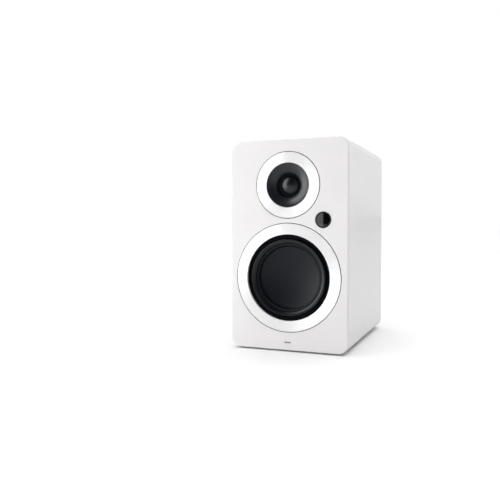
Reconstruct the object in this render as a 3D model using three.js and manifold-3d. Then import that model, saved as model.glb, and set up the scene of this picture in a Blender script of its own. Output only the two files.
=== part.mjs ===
// Two-way powered bookshelf speaker: white lacquered cabinet, 130 mm woofer and 25 mm dome tweeter
// behind turned aluminium trim rings, a flush display window in front and the amplifier plate behind.
// Millimetres. +X is to the right of a listener facing the speaker, +Y runs from front to back, +Z is up.
// Inside this file y is measured from the front face of the baffle and z from the shelf; the exported
// group is shifted back by HALF_DEPTH so that its origin is at the bottom centre of the whole part.
import * as THREE from "three";
import { mergeVertices } from "three/addons/utils/BufferGeometryUtils.js";
import Module from "manifold-3d";

// ---- Driving dimensions -------------------------------------------------------------------------
const WIDTH = 168; // cabinet
const HEIGHT = 288;
const DEPTH = 240;
const CORNER = 14; // radius of the four long edges of the cabinet
const WALL = 12; // side, top and bottom boards
const BAFFLE = 18; // front board
const LIP = 3; // front layer of the baffle that covers the edges of the side boards
const REAR = 12; // rear board, let in between the walls
const FOOT = 2; // the feet lift the cabinet by this much
const GAP = 0.3; // clearance between glued or seated pieces
const PROUD = 0.3; // how far the trim rings stand in front of the baffle
const HALF_DEPTH = DEPTH / 2 + 10; // half of the depth over everything, window rim to terminal caps

const WOOFER_Z = 101.8; // heights of the driver centres above the shelf
const TWEETER_Z = 228.2;
const WOOFER_RING = { inner: 59.4, outer: 74.5 }; // radii of the visible trim rings
const TWEETER_RING = { inner: 30.4, outer: 45.1 };
const RING_BACK = 3; // back face of both trim rings
const SHADOW_GAP = 0.6; // open line round each trim ring
const WINDOW = { x: 49.9, z: 180.7, r: 10.8 }; // display window beside the drivers

const COIL_R = 13; // woofer voice coil former
// Woofer radii: edge of the cone's dish, lip of the surround, then its roll's foot, crest and outer foot,
// and the landing on the basket.
const SPAN = { cone: 45.6, lip: 46.2, inner: 47.9, crest: 52.2, outer: 54, landing: 57.2 };
const DOME_R = 12.5; // tweeter dome

const PLATE = { width: 122, height: 152, thick: 2.5, z: 97 }; // amplifier plate on the rear board
const OUT = DEPTH + GAP + PLATE.thick; // outer face of that plate
const BOARD_Y = OUT - 25.8; // front face of the amplifier circuit board
const BOARD_BACK = BOARD_Y + 1.6;
const HOUSING = { width: 105, height: 135, depth: 62, wall: 2.5 };
const PORT = { r: 18, z: 226, length: 118 };
const INLET = { x: -36, z: 40 };
const SWITCH = { x: -36, z: 70 };
const KNOB = { x: 0, z: 150, r: 12 };
const RCA = { x: -32, z: 115, pitch: 15 };
const OPTICAL = { x: 22, z: 115 };
const POSTS = { x: 30, z: 46, pitch: 19 };

const BIG_ROUND = 32; // segments in a full turn
const ROUND = 24;
const SPARE_ROUND = 20; // for pieces that are never seen
const SMALL_ROUND = 12;

// ---- Materials ----------------------------------------------------------------------------------
const paint = (color, roughness, metalness = 0) =>
  new THREE.MeshStandardMaterial({ color, roughness, metalness });
const MATERIAL = {
  lacquer: paint(0xefecea, 0.45),
  board: paint(0xb08d62, 0.9),
  aluminium: paint(0xf2f2f3, 0.3, 0.9),
  blackPlastic: paint(0x1a1b1d, 0.5),
  gloss: paint(0x0a0b0c, 0.08),
  rubber: paint(0x141516, 0.65),
  cone: paint(0x202326, 0.45),
  silk: paint(0x17191c, 0.4),
  blackMetal: paint(0x18191b, 0.5, 0.4),
  steel: paint(0xa9acb0, 0.35, 1),
  ferrite: paint(0x2d2d30, 0.7),
  copper: paint(0xb06a3a, 0.35, 1),
  brass: paint(0xc9a75a, 0.3, 1),
  amber: paint(0xb8752a, 0.8),
  circuit: paint(0x1d5a38, 0.6),
  wadding: paint(0xe6e6e2, 1),
  red: paint(0xb01f24, 0.35),
};

// ---- Geometry helpers ---------------------------------------------------------------------------
const wasm = await Module();
wasm.setup();

// A closed three.js geometry as a manifold solid, turned right side out if its faces point inwards.
function solid(geometry) {
  const bare = geometry.clone();
  for (const name of ["normal", "uv"]) bare.deleteAttribute(name);
  const merged = mergeVertices(bare, 1e-4);
  const triVerts = new Uint32Array(merged.index.array);
  const vertProperties = new Float32Array(merged.attributes.position.array);
  const make = () =>
    new wasm.Manifold(new wasm.Mesh({ numProp: 3, vertProperties, triVerts }));
  const made = make();
  if (made.volume() > 0) return made;
  for (let i = 0; i < triVerts.length; i += 3)
    [triVerts[i + 1], triVerts[i + 2]] = [triVerts[i + 2], triVerts[i + 1]];
  return make();
}

// A manifold solid as a three.js geometry.
function geometryOf(made) {
  const mesh = made.getMesh();
  const positions = new Float32Array(mesh.numVert * 3);
  for (let i = 0; i < mesh.numVert; i++)
    positions.set(
      mesh.vertProperties.subarray(i * mesh.numProp, i * mesh.numProp + 3),
      i * 3,
    );
  const geometry = new THREE.BufferGeometry();
  geometry.setAttribute("position", new THREE.BufferAttribute(positions, 3));
  geometry.setIndex(new THREE.BufferAttribute(mesh.triVerts, 1));
  geometry.computeVertexNormals();
  return geometry;
}

const at = (geometry, x = 0, y = 0, z = 0) => geometry.translate(x, y, z);
const join = (...parts) => parts.reduce((a, b) => a.add(b));
const cut = (body, ...tools) => tools.reduce((a, b) => a.subtract(b), body);

// A body of revolution about the Y axis from closed [radius, y] points.
function turned(points, segments = ROUND) {
  const profile = [...points, points[0]].map(
    ([r, y]) => new THREE.Vector2(r, y),
  );
  if (points[0][0] === 0) profile.pop(); // it starts and ends on the axis
  return solid(new THREE.LatheGeometry(profile, segments));
}

// A plain ring or, with no inner radius, a disc, from y0 to y1.
function ring(inner, outer, y0, y1, segments = ROUND) {
  const points = [
    [inner, y0],
    [outer, y0],
    [outer, y1],
    [inner, y1],
  ];
  return turned(points, segments);
}
const disc = (r, y0, y1, segments = ROUND) => ring(0, r, y0, y1, segments);

// A rectangle with round corners, centred on (x, z).
function roundedRect(w, h, r, x = 0, z = 0, Kind = THREE.Shape) {
  const [l, b] = [x - w / 2, z - h / 2];
  const [right, top] = [l + w, b + h];
  const shape = new Kind();
  shape.moveTo(l + r, b);
  shape.lineTo(right - r, b);
  shape.absarc(right - r, b + r, r, -Math.PI / 2, 0);
  shape.lineTo(right, top - r);
  shape.absarc(right - r, top - r, r, 0, Math.PI / 2);
  shape.lineTo(l + r, top);
  shape.absarc(l + r, top - r, r, Math.PI / 2, Math.PI);
  shape.lineTo(l, b + r);
  shape.absarc(l + r, b + r, r, Math.PI, 1.5 * Math.PI);
  return shape;
}

// A shape drawn in x and z, as a board from y0 to y1.
function board(shape, y0, y1, curveSegments = 6) {
  const options = { depth: y1 - y0, bevelEnabled: false, curveSegments };
  const geometry = new THREE.ExtrudeGeometry(shape, options);
  return solid(at(geometry.rotateX(Math.PI / 2), 0, y1, 0));
}

const block = (w, h, y0, y1, x = 0, z = 0, r = 0.8) =>
  board(roundedRect(w, h, r, x, z), y0, y1, 2);
const moved = (made, x, y, z) => made.translate([x, y, z]);

// ---- Scene graph --------------------------------------------------------------------------------
const speaker = new THREE.Group();
const assembly = new THREE.Group();
assembly.position.y = -HALF_DEPTH;
speaker.add(assembly);

function group(x, y, z, parent = assembly) {
  const made = new THREE.Group();
  made.position.set(x, y, z);
  parent.add(made);
  return made;
}

function node(name, made, material, parent = assembly) {
  const mesh = new THREE.Mesh(geometryOf(made), material);
  mesh.name = name;
  parent.add(mesh);
  return mesh;
}

// ---- Cabinet ------------------------------------------------------------------------------------
const MIDDLE_Z = FOOT + HEIGHT / 2;
const INSIDE = { width: WIDTH - 2 * WALL, height: HEIGHT - 2 * WALL, r: 3 };
const EDGE_ROUND = 2; // rounding of the front edge
const MAGNETS = [
  [-65, 266],
  [65, 266],
  [-65, 34],
  [65, 34],
];
// Polyester wadding behind the woofer.
const PAD = { width: 84, height: 150, x: -22, z: 90, y: [118, 158] };
const BADGE = { width: 9, height: 1.8, z: 13, depth: 0.7 };
const WOOFER_SEAT = 8.4; // depth of the ledge that the woofer flange is screwed to
const TWEETER_SEAT = 6.6;
const WOOFER_HOLE = 60.3;
const TWEETER_HOLE = 31.5;

function insideBoard(y0, y1) {
  const { width, height, r } = INSIDE;
  const w = width - 2 * GAP;
  const h = height - 2 * GAP;
  return board(roundedRect(w, h, r, 0, MIDDLE_Z), y0, y1);
}

function cabinetWrap() {
  const outline = roundedRect(WIDTH, HEIGHT, CORNER, 0, MIDDLE_Z);
  const { width, height, r } = INSIDE;
  outline.holes.push(roundedRect(width, height, r, 0, MIDDLE_Z, THREE.Path));
  return board(outline, LIP + GAP, DEPTH);
}

// The baffle's front layer has a rounded front edge: a bevelled extrusion with its back half cut off.
function baffleLip() {
  const inset = EDGE_ROUND;
  const shape = roundedRect(
    WIDTH - 2 * inset,
    HEIGHT - 2 * inset,
    CORNER - inset,
    0,
    MIDDLE_Z,
  );
  const options = {
    depth: 10,
    curveSegments: 6,
    bevelEnabled: true,
    bevelSize: inset,
    bevelThickness: inset,
    bevelSegments: 2,
  };
  const geometry = new THREE.ExtrudeGeometry(shape, options);
  const bevelled = solid(
    at(geometry.rotateX(Math.PI / 2), 0, 10 + inset, 0),
  );
  const back = new THREE.BoxGeometry(WIDTH * 2, 40, HEIGHT * 2);
  return cut(bevelled, solid(at(back, 0, LIP + 20, MIDDLE_Z)));
}

// A driver opening: a recess for the trim ring, a deeper one for the flange and a clear hole.
function driverOpening(ringR, flangeR, seat, holeR, z) {
  const opening = join(
    disc(ringR + SHADOW_GAP, -5, RING_BACK + GAP, BIG_ROUND),
    disc(flangeR, -5, seat, BIG_ROUND),
    disc(holeR, -5, BAFFLE + 5, BIG_ROUND),
  );
  return moved(opening, 0, 0, z);
}

function frontBaffle() {
  const plug = insideBoard(LIP - 0.01, BAFFLE);
  let body = join(baffleLip(), plug);
  body = cut(
    body,
    driverOpening(WOOFER_RING.outer, 67.5, WOOFER_SEAT, WOOFER_HOLE, WOOFER_Z),
    driverOpening(
      TWEETER_RING.outer,
      42.8,
      TWEETER_SEAT,
      TWEETER_HOLE,
      TWEETER_Z,
    ),
    moved(disc(WINDOW.r + GAP, -5, BAFFLE + 5), WINDOW.x, 0, WINDOW.z),
    block(
      BADGE.width + GAP,
      BADGE.height + GAP,
      -5,
      BADGE.depth,
      0,
      BADGE.z,
      (BADGE.height + GAP) / 2,
    ),
  );
  for (const [x, z] of MAGNETS)
    body = cut(body, moved(disc(5.3, 5, BAFFLE + 5, SMALL_ROUND), x, 0, z));
  return body;
}

function rearPanel() {
  const { width, height } = HOUSING;
  return cut(
    insideBoard(DEPTH - REAR, DEPTH),
    board(
      roundedRect(width + 1, height + 1, 4.5, 0, PLATE.z),
      DEPTH - 50,
      DEPTH + 5,
    ),
    moved(disc(26.2, DEPTH - 50, DEPTH + 5, ROUND), 0, 0, PORT.z),
  );
}

// A frame across the middle of the box that stiffens the four walls.
function cabinetBrace() {
  const { width, height } = INSIDE;
  const opening = roundedRect(width - 44, height - 44, 16, 0, MIDDLE_Z);
  return cut(insideBoard(94, 104), board(opening, 80, 120));
}

node("cabinet_wrap", cabinetWrap(), MATERIAL.lacquer);
node("front_baffle", frontBaffle(), MATERIAL.lacquer);
node("rear_panel", rearPanel(), MATERIAL.lacquer);
node("cabinet_brace", cabinetBrace(), MATERIAL.board);
node(
  "damping_pad",
  board(roundedRect(PAD.width, PAD.height, 16, PAD.x, PAD.z), ...PAD.y, 4),
  MATERIAL.wadding,
);
node(
  "badge",
  block(
    BADGE.width,
    BADGE.height,
    -PROUD,
    BADGE.depth - 0.1,
    0,
    BADGE.z,
    BADGE.height / 2,
  ),
  MATERIAL.steel,
);
MAGNETS.forEach(([x, z], i) =>
  node(
    `grille_magnet_${i + 1}`,
    moved(disc(5, 5.3, 10.3, SMALL_ROUND), x, 0, z),
    MATERIAL.steel,
  ),
);

const FEET = {
  front_left: [-62, 24],
  front_right: [62, 24],
  rear_left: [-62, DEPTH - 24],
  rear_right: [62, DEPTH - 24],
};
for (const [place, [x, y]] of Object.entries(FEET)) {
  const pad = new THREE.CylinderGeometry(9, 9.6, FOOT, ROUND);
  pad.rotateX(Math.PI / 2);
  node(`foot_${place}`, solid(at(pad, x, y, FOOT / 2)), MATERIAL.rubber);
}

// ---- Trim rings ---------------------------------------------------------------------------------
function trimRing({ inner, outer }) {
  const chamfer = 0.6;
  const points = [
    [inner, -PROUD + chamfer],
    [inner + chamfer, -PROUD],
    [outer - chamfer, -PROUD],
    [outer, -PROUD + chamfer],
    [outer, RING_BACK],
    [inner, RING_BACK],
  ];
  return turned(points, BIG_ROUND);
}

// ---- Woofer, axis along Y -----------------------------------------------------------------------
const FLANGE = { outer: 67, front: 3.4, back: 7.4 };
const LANDING_Y = 10.5; // where the surround is glued to the basket
const SPIDER_Y = 35; // ledge that holds the spider
const BASKET_BACK = 47.2;
const TOP_PLATE = [47.5, 53.5];
const MAGNET = [53.8, 69.8];
const YOKE = [70.1, 75.5];
const CONE_RIM_Y = 6.4;
const CREST_Y = 0.5; // front of the surround's roll
const CONE_DEPTH = 10.6;
const CONE_WALL_R = 42.9; // inside this radius the steep wall of the cone turns into a shallow dish
const CONE_WALL = 0.9;
const FORMER_FRONT = CONE_RIM_Y + CONE_DEPTH + 2.2;

function basket() {
  const { outer, front, back } = FLANGE;
  const { landing } = SPAN;
  const shell = turned(
    [
      [outer, front],
      [outer, back],
      [59.4, back],
      [59.4, 16.5],
      [46, 44.5],
      [46, BASKET_BACK],
      [19, BASKET_BACK],
      [19, 44.6],
      [37.5, 44.6],
      [37.5, SPIDER_Y],
      [41.2, SPIDER_Y],
      [54.8, 15.5],
      [54.8, LANDING_Y],
      [landing + 0.2, LANDING_Y],
      [landing + 0.2, front],
    ],
    ROUND,
  );
  const windows = 6;
  let made = shell;
  for (let i = 0; i < windows; i++) {
    const window = new THREE.BoxGeometry(27, 14, 36);
    at(window, 0, 26.5, 54).rotateY((2 * Math.PI * i) / windows);
    made = cut(made, solid(window));
  }
  return made;
}

// The roll of rubber between the cone and the basket: it rises gently from the cone, to a crest close to
// the trim ring, and falls steeply to the basket.
function surround() {
  const { lip, inner, crest, outer, landing } = SPAN;
  const thick = 0.8;
  const lipY = CONE_RIM_Y - GAP;
  const footY = LANDING_Y - GAP;
  const quarter = (foot, y, top, steps = 4) =>
    Array.from({ length: steps + 1 }, (_, i) => {
      const t = (Math.PI / 2 / steps) * i;
      return [crest + (foot - crest) * Math.cos(t), y + (top - y) * Math.sin(t)];
    });
  const over = [
    ...quarter(inner - thick / 2, lipY - thick, CREST_Y),
    ...quarter(outer + thick / 2, footY - thick, CREST_Y).reverse().slice(1),
  ];
  const under = [
    ...quarter(inner + thick / 2, lipY, CREST_Y + thick),
    ...quarter(outer - thick / 2, footY, CREST_Y + thick).reverse().slice(1),
  ];
  return turned(
    [
      [lip, lipY - thick],
      ...over,
      [landing, footY - thick],
      [landing, footY],
      ...under.reverse(),
      [lip, lipY],
    ],
    ROUND,
  );
}

// A one-piece cone: a steep wall at its rim, then a shallow dish, with a neck for the former.
function cone() {
  const { cone: rim, lip } = SPAN;
  const dish = 5.8;
  const bottom = CONE_RIM_Y + CONE_DEPTH;
  const front = (r) => bottom - dish * (r / CONE_WALL_R) ** 2;
  const radii = [0, 15, 26, 35, CONE_WALL_R];
  const back = (r) => front(r) + CONE_WALL;
  const neck = { inner: COIL_R + GAP, outer: COIL_R + 1.7, end: FORMER_FRONT + 3.9 };
  return turned(
    [
      ...radii.map((r) => [r, front(r)]),
      [rim - 0.5, CONE_RIM_Y + 0.4],
      [rim, CONE_RIM_Y],
      [lip + 1, CONE_RIM_Y],
      [lip + 1, CONE_RIM_Y + CONE_WALL],
      [rim + 0.2, CONE_RIM_Y + CONE_WALL],
      ...[CONE_WALL_R, 35, 26].map((r) => [r + 0.5, back(r) + 0.2]),
      [neck.outer, back(neck.outer)],
      [neck.outer, neck.end],
      [neck.inner, neck.end],
      [neck.inner, back(neck.inner)],
      [0, back(0)],
    ],
    ROUND,
  );
}

// The folded cloth disc that centres the former.
function spider() {
  const inner = COIL_R + GAP;
  const outer = 40.5;
  const thick = 0.7;
  const folds = 3;
  const wave = 1.8;
  const y = SPIDER_Y - GAP - thick;
  const pitch = (outer - 3 - inner - 2) / folds;
  const tops = [[inner, y]];
  for (let i = 0; i < folds; i++) {
    tops.push([inner + 2 + pitch * (i + 0.25), y - wave]);
    tops.push([inner + 2 + pitch * (i + 0.75), y + wave * 0.3]);
  }
  tops.push([outer - 3, y], [outer, y]);
  const unders = tops.map(([r, h]) => [r, h + thick]).reverse();
  return turned([...tops, ...unders], SPARE_ROUND);
}

function poleYoke(plateR, plate, poleR, poleTop, ventR) {
  return turned([
    [ventR, poleTop],
    [poleR, poleTop],
    [poleR, plate[0]],
    [plateR, plate[0]],
    [plateR, plate[1]],
    [ventR, plate[1]],
  ]);
}

const woofer = group(0, 0, WOOFER_Z);
const addWoofer = (name, made, material) =>
  node(`woofer_${name}`, made, material, woofer);
addWoofer("trim_ring", trimRing(WOOFER_RING), MATERIAL.aluminium);
addWoofer("basket", basket(), MATERIAL.blackMetal);
addWoofer(
  "gasket",
  ring(WOOFER_HOLE, 66.8, FLANGE.back + 0.1, WOOFER_SEAT - 0.1, ROUND),
  MATERIAL.rubber,
);
addWoofer("surround", surround(), MATERIAL.rubber);
addWoofer("cone", cone(), MATERIAL.cone);
addWoofer(
  "former",
  ring(COIL_R - 0.4, COIL_R, FORMER_FRONT, 57, SPARE_ROUND),
  MATERIAL.amber,
);
addWoofer(
  "voice_coil",
  ring(COIL_R + GAP, COIL_R + 1.6, 44.5, 56.5, SPARE_ROUND),
  MATERIAL.copper,
);
addWoofer("spider", spider(), MATERIAL.amber);
addWoofer(
  "top_plate",
  ring(COIL_R + 2.2, 42, ...TOP_PLATE, SPARE_ROUND),
  MATERIAL.steel,
);
addWoofer("magnet", ring(22, 45, ...MAGNET, SPARE_ROUND), MATERIAL.ferrite);
addWoofer(
  "pole_yoke",
  poleYoke(42, YOKE, COIL_R - 0.8, TOP_PLATE[0], 4),
  MATERIAL.steel,
);

// ---- Tweeter, axis along Y ----------------------------------------------------------------------
const THROAT_R = 17.4;
const DOME_BASE_Y = 8.8;
const DOME_RISE = 5.4;
const DOME_SEAT = DOME_BASE_Y - 0.9; // face of the waveguide in front of the flat edge of the dome
const MOTOR_Y = DOME_BASE_Y + 1.8; // front of the top plate

function waveguide() {
  return turned(
    [
      [THROAT_R, DOME_SEAT],
      [THROAT_R, 7.3],
      [18.9, 5.5],
      [20.8, 4.2],
      [24.5, 2.25],
      [28.5, 0.85],
      [TWEETER_RING.inner - GAP, 0.6],
      [TWEETER_RING.inner - GAP, RING_BACK + GAP],
      [42.3, RING_BACK + GAP],
      [42.3, TWEETER_SEAT - GAP],
      [31, TWEETER_SEAT - GAP],
      [31, MOTOR_Y - GAP],
      [22, MOTOR_Y - GAP],
      [22, DOME_SEAT],
    ],
    ROUND,
  );
}

// Soft dome with its narrow half-roll suspension, as one skin.
function dome() {
  const thick = 0.5;
  const steps = 4;
  const sphereR = (DOME_R ** 2 + DOME_RISE ** 2) / (2 * DOME_RISE);
  const cap = (extra) =>
    Array.from({ length: steps + 1 }, (_, i) => {
      const r = (DOME_R * i) / steps;
      const sag = Math.sqrt(sphereR ** 2 - r ** 2) - (sphereR - DOME_RISE);
      return [r, DOME_BASE_Y - sag + extra];
    });
  const roll = [
    [13.4, DOME_BASE_Y + 0.5],
    [15.6, DOME_BASE_Y + 0.5],
    [16.6, DOME_BASE_Y],
    [21.4, DOME_BASE_Y],
  ];
  const skin = [...cap(0), ...roll];
  const back = [...cap(thick), ...roll.map(([r, y]) => [r, y + thick])];
  return turned([...skin, ...back.reverse()], SPARE_ROUND);
}

const tweeter = group(0, 0, TWEETER_Z);
const addTweeter = (name, made, material) =>
  node(`tweeter_${name}`, made, material, tweeter);
const tweeterRing = (inner, outer, start, end) =>
  ring(inner, outer, MOTOR_Y + start, MOTOR_Y + end, SPARE_ROUND);
addTweeter("trim_ring", trimRing(TWEETER_RING), MATERIAL.aluminium);
addTweeter("waveguide", waveguide(), MATERIAL.blackPlastic);
addTweeter("dome", dome(), MATERIAL.silk);
addTweeter("voice_coil", tweeterRing(11.8, 12.6, -1, 4.4), MATERIAL.copper);
addTweeter("top_plate", tweeterRing(13.1, 30, 0, 3), MATERIAL.steel);
addTweeter("magnet", tweeterRing(15.5, 30.5, 3.3, 13.3), MATERIAL.ferrite);
addTweeter(
  "pole_yoke",
  poleYoke(28, [MOTOR_Y + 13.6, MOTOR_Y + 17.6], 11.3, MOTOR_Y, 2.5),
  MATERIAL.steel,
);

// ---- Display window -----------------------------------------------------------------------------
const display = group(WINDOW.x, 0, WINDOW.z);
const BEZEL_FRONT = -0.4;
node(
  "display_bezel",
  turned([
    [9.6, BEZEL_FRONT + 0.3],
    [9.9, BEZEL_FRONT],
    [WINDOW.r - 0.3, BEZEL_FRONT],
    [WINDOW.r, BEZEL_FRONT + 0.3],
    [WINDOW.r, BAFFLE + GAP],
    [15, BAFFLE + GAP],
    [15, BAFFLE + 2],
    [8.4, BAFFLE + 2],
    [8.4, 2.4],
    [9.6, 2.4],
  ]),
  MATERIAL.blackPlastic,
  display,
);
node("display_lens", disc(9.4, -0.1, 2.2), MATERIAL.gloss, display);
node(
  "display_board",
  join(
    block(26, 26, BAFFLE + 2.3, BAFFLE + 3.9, 0, 0, 2),
    block(7, 8, 13, BAFFLE + 2.4, 0, 0),
  ),
  MATERIAL.circuit,
  display,
);

// ---- Bass port ----------------------------------------------------------------------------------
function portTube() {
  const { r, length } = PORT;
  const mouth = DEPTH + GAP;
  const end = mouth - length;
  return turned(
    [
      [r, end + 6],
      [r, DEPTH - 16],
      [r + 1.2, DEPTH - 8],
      [r + 4, DEPTH - 2],
      [r + 8.4, mouth + 1.6],
      [r + 11, mouth + 2.3],
      [r + 14.4, mouth + 2.3],
      [r + 15, mouth + 1.7],
      [r + 15, mouth],
      [r + 7.8, mouth],
      [r + 6, DEPTH - 4],
      [r + 3.2, DEPTH - 12],
      [r + 2.2, DEPTH - 18],
      [r + 2.2, end + 7],
      [r + 6, end + 1],
      [r + 5, end],
      [r + 2, end + 2],
    ],
    ROUND,
  );
}
node(
  "port_tube",
  moved(portTube(), 0, 0, PORT.z),
  MATERIAL.blackPlastic,
);

// ---- Amplifier plate and what it carries --------------------------------------------------------
const rcaSpots = [-0.5, 0.5].flatMap((i) =>
  [-0.5, 0.5].map((j) => [RCA.x + RCA.pitch * i, RCA.z + RCA.pitch * j]),
);
const postSpots = { red: POSTS.x - POSTS.pitch / 2, black: POSTS.x + POSTS.pitch / 2 };

function ampPlate() {
  const through = [DEPTH - 5, OUT + 5];
  const holes = [
    ...rcaSpots.map(([x, z]) => moved(disc(4.6, ...through, SMALL_ROUND), x, 0, z)),
    ...Object.values(postSpots).map((x) =>
      moved(disc(4.3, ...through, SMALL_ROUND), x, 0, POSTS.z),
    ),
    moved(disc(3.9, ...through, SMALL_ROUND), KNOB.x, 0, KNOB.z),
    block(24, 13, ...through, INLET.x, INLET.z),
    block(14, 20, ...through, SWITCH.x, SWITCH.z),
    block(11, 11, ...through, OPTICAL.x, OPTICAL.z),
  ];
  const { width, height, z } = PLATE;
  const outline = roundedRect(width, height, 7, 0, z);
  return cut(board(outline, DEPTH + GAP, OUT), ...holes);
}

// The air-tight tray that keeps the electronics out of the box volume.
function ampHousing() {
  const { width, height, depth, wall } = HOUSING;
  const y1 = DEPTH;
  const y0 = y1 - depth;
  const inner = roundedRect(width - 2 * wall, height - 2 * wall, 2, 0, PLATE.z);
  return cut(
    board(roundedRect(width, height, 4, 0, PLATE.z), y0, y1),
    board(inner, y0 + wall, y1 + 5),
  );
}

function heatSink() {
  const [width, height, fins, finWall, z] = [64, 34, 8, 1.6, 140];
  const box = (w, y0, y1, x) =>
    solid(at(new THREE.BoxGeometry(w, y1 - y0, height), x, (y0 + y1) / 2, z));
  const root = BOARD_Y - 6;
  let made = box(width, root, BOARD_Y - 2, 0);
  for (let i = 0; i < fins; i++) {
    const x = -width / 2 + finWall / 2 + (i * (width - finWall)) / (fins - 1);
    made = join(made, box(finWall, root - 16, root + 0.1, x));
  }
  return made;
}

function mainsInlet() {
  const { x, z } = INLET;
  const flangeBack = OUT + GAP;
  const face = flangeBack + 2;
  const floor = face - 12;
  let made = join(
    block(30, 17, flangeBack, face, x, z, 3),
    block(22.6, 11.6, BOARD_BACK + 1, flangeBack + 0.1, x, z, 2),
  );
  made = cut(made, block(16, 8.4, floor, face + 5, x, z, 3.5));
  for (const side of [-1, 1])
    made = join(
      made,
      moved(disc(1.2, floor - 0.1, floor + 7, 12), x + side * 4.3, 0, z),
    );
  return made;
}

const ROCKER = { width: 9, length: 15, pivotY: OUT - 0.2, tilt: 8 };

function switchBody() {
  const { x, z } = SWITCH;
  const flangeBack = OUT + GAP;
  const outer = join(
    block(16.5, 23, flangeBack, flangeBack + 1.6, x, z, 1.2),
    block(13.2, 19.2, BOARD_BACK + 5, flangeBack + 0.1, x, z),
  );
  const mouth = block(
    ROCKER.width + 1,
    ROCKER.length + 2.6,
    ROCKER.pivotY - 7.6,
    OUT + 10,
    x,
    z,
    0.6,
  );
  return cut(outer, mouth);
}

// A rocker whose two faces meet in a shallow valley, seen along its pivot; it rests tilted to "on".
function rocker() {
  const half = ROCKER.length / 2;
  const side = new THREE.Shape();
  side.moveTo(-half, 3.6);
  side.lineTo(-half, -1);
  side.lineTo(-3.5, -4.6);
  side.lineTo(3.5, -4.6);
  side.lineTo(half, -1);
  side.lineTo(half, 3.6);
  side.quadraticCurveTo(0, 1.2, -half, 3.6);
  const options = { depth: ROCKER.width, bevelEnabled: false, curveSegments: 6 };
  const geometry = new THREE.ExtrudeGeometry(side, options);
  // drawn x runs along the rocker's length (z), drawn y outwards (y), and it is extruded across (x)
  const axes = new THREE.Matrix4().makeBasis(
    new THREE.Vector3(0, 0, 1),
    new THREE.Vector3(0, 1, 0),
    new THREE.Vector3(-1, 0, 0),
  );
  geometry.applyMatrix4(axes);
  at(geometry, ROCKER.width / 2, 0, 0);
  geometry.rotateX(THREE.MathUtils.degToRad(-ROCKER.tilt));
  return solid(geometry);
}

const ENCODER = {
  bore: 3.3,
  rotor: [BOARD_BACK + 1.6, BOARD_BACK + 5.2],
  caseEnd: BOARD_BACK + 7.4,
  bushEnd: OUT + 1.8,
};

function encoderBody() {
  const cavity = [ENCODER.rotor[0] - GAP, ENCODER.rotor[1] + GAP];
  return moved(
    cut(
      join(
        block(13, 13, BOARD_BACK + 0.1, ENCODER.caseEnd, 0, 0),
        disc(3.7, ENCODER.caseEnd - 0.1, ENCODER.bushEnd, SMALL_ROUND),
      ),
      disc(5.1, ...cavity, SMALL_ROUND),
      disc(ENCODER.bore, BOARD_BACK - 5, OUT + 20, SMALL_ROUND),
    ),
    KNOB.x,
    0,
    KNOB.z,
  );
}

function volumeKnob() {
  const [base, end] = [ENCODER.bushEnd + 1, OUT + 16];
  return turned(
    [
      [3.3, base],
      [KNOB.r - 0.4, base],
      [KNOB.r, base + 0.4],
      [KNOB.r - 0.6, end - 0.8],
      [KNOB.r - 1.4, end],
      [0, end],
      [0, end - 3],
      [3.3, end - 3],
    ].reverse(),
    ROUND,
  );
}

function rcaBlock() {
  let made = block(36, 34, BOARD_BACK + 0.1, DEPTH - 2, RCA.x, RCA.z, 1.5);
  for (const [x, z] of rcaSpots)
    made = cut(
      join(made, moved(disc(4.2, DEPTH - 2.1, OUT + 9, SMALL_ROUND), x, 0, z)),
      moved(disc(1.8, OUT, OUT + 20, 12), x, 0, z),
    );
  return made;
}

function opticalSocket() {
  const { x, z } = OPTICAL;
  return cut(
    block(10.4, 10.4, BOARD_BACK + 0.1, OUT + 2, x, z, 1),
    block(6.4, 6.4, OUT - 0.5, OUT + 5, x, z, 0.6),
  );
}

const POST = { stud: 3, bore: 2.1, base: OUT + GAP, block: 3.6, collar: 2.2 };

function postBlock() {
  const y0 = POST.base;
  const made = block(42, 21, y0, y0 + POST.block, POSTS.x, POSTS.z, 3);
  const holes = Object.values(postSpots).map((x) =>
    moved(disc(POST.stud + GAP, y0 - 5, y0 + 20, SMALL_ROUND), x, 0, POSTS.z),
  );
  return cut(made, ...holes);
}

node("amp_plate", ampPlate(), MATERIAL.blackMetal);
node("amp_housing", ampHousing(), MATERIAL.blackPlastic);
node(
  "amp_board",
  block(96, 124, BOARD_Y, BOARD_BACK, 0, PLATE.z, 1.5),
  MATERIAL.circuit,
);
node(
  "power_transformer",
  block(38, 32, BOARD_Y - 29, BOARD_Y - GAP, -22, 58, 3),
  MATERIAL.amber,
);
node(
  "main_capacitor",
  moved(disc(11, BOARD_Y - 27, BOARD_Y - GAP, SPARE_ROUND), 22, 0, 58),
  MATERIAL.gloss,
);
node("heat_sink", heatSink(), MATERIAL.steel);
node("mains_inlet", mainsInlet(), MATERIAL.blackPlastic);
node("power_switch_body", switchBody(), MATERIAL.blackPlastic);
node(
  "power_rocker",
  rocker(),
  MATERIAL.gloss,
  group(SWITCH.x, ROCKER.pivotY, SWITCH.z),
);
node("encoder_body", encoderBody(), MATERIAL.steel);
node(
  "encoder_rotor",
  ring(ENCODER.bore, 4.8, ...ENCODER.rotor, SMALL_ROUND),
  MATERIAL.blackPlastic,
  group(KNOB.x, 0, KNOB.z),
);
node(
  "encoder_shaft",
  disc(3, BOARD_BACK + 1.2, OUT + 12.6, SMALL_ROUND),
  MATERIAL.steel,
  group(KNOB.x, 0, KNOB.z),
);
node("volume_knob", volumeKnob(), MATERIAL.blackMetal, group(KNOB.x, 0, KNOB.z));
node("rca_block", rcaBlock(), MATERIAL.blackPlastic);
node("optical_socket", opticalSocket(), MATERIAL.blackPlastic);
node("post_block", postBlock(), MATERIAL.blackPlastic);

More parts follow.
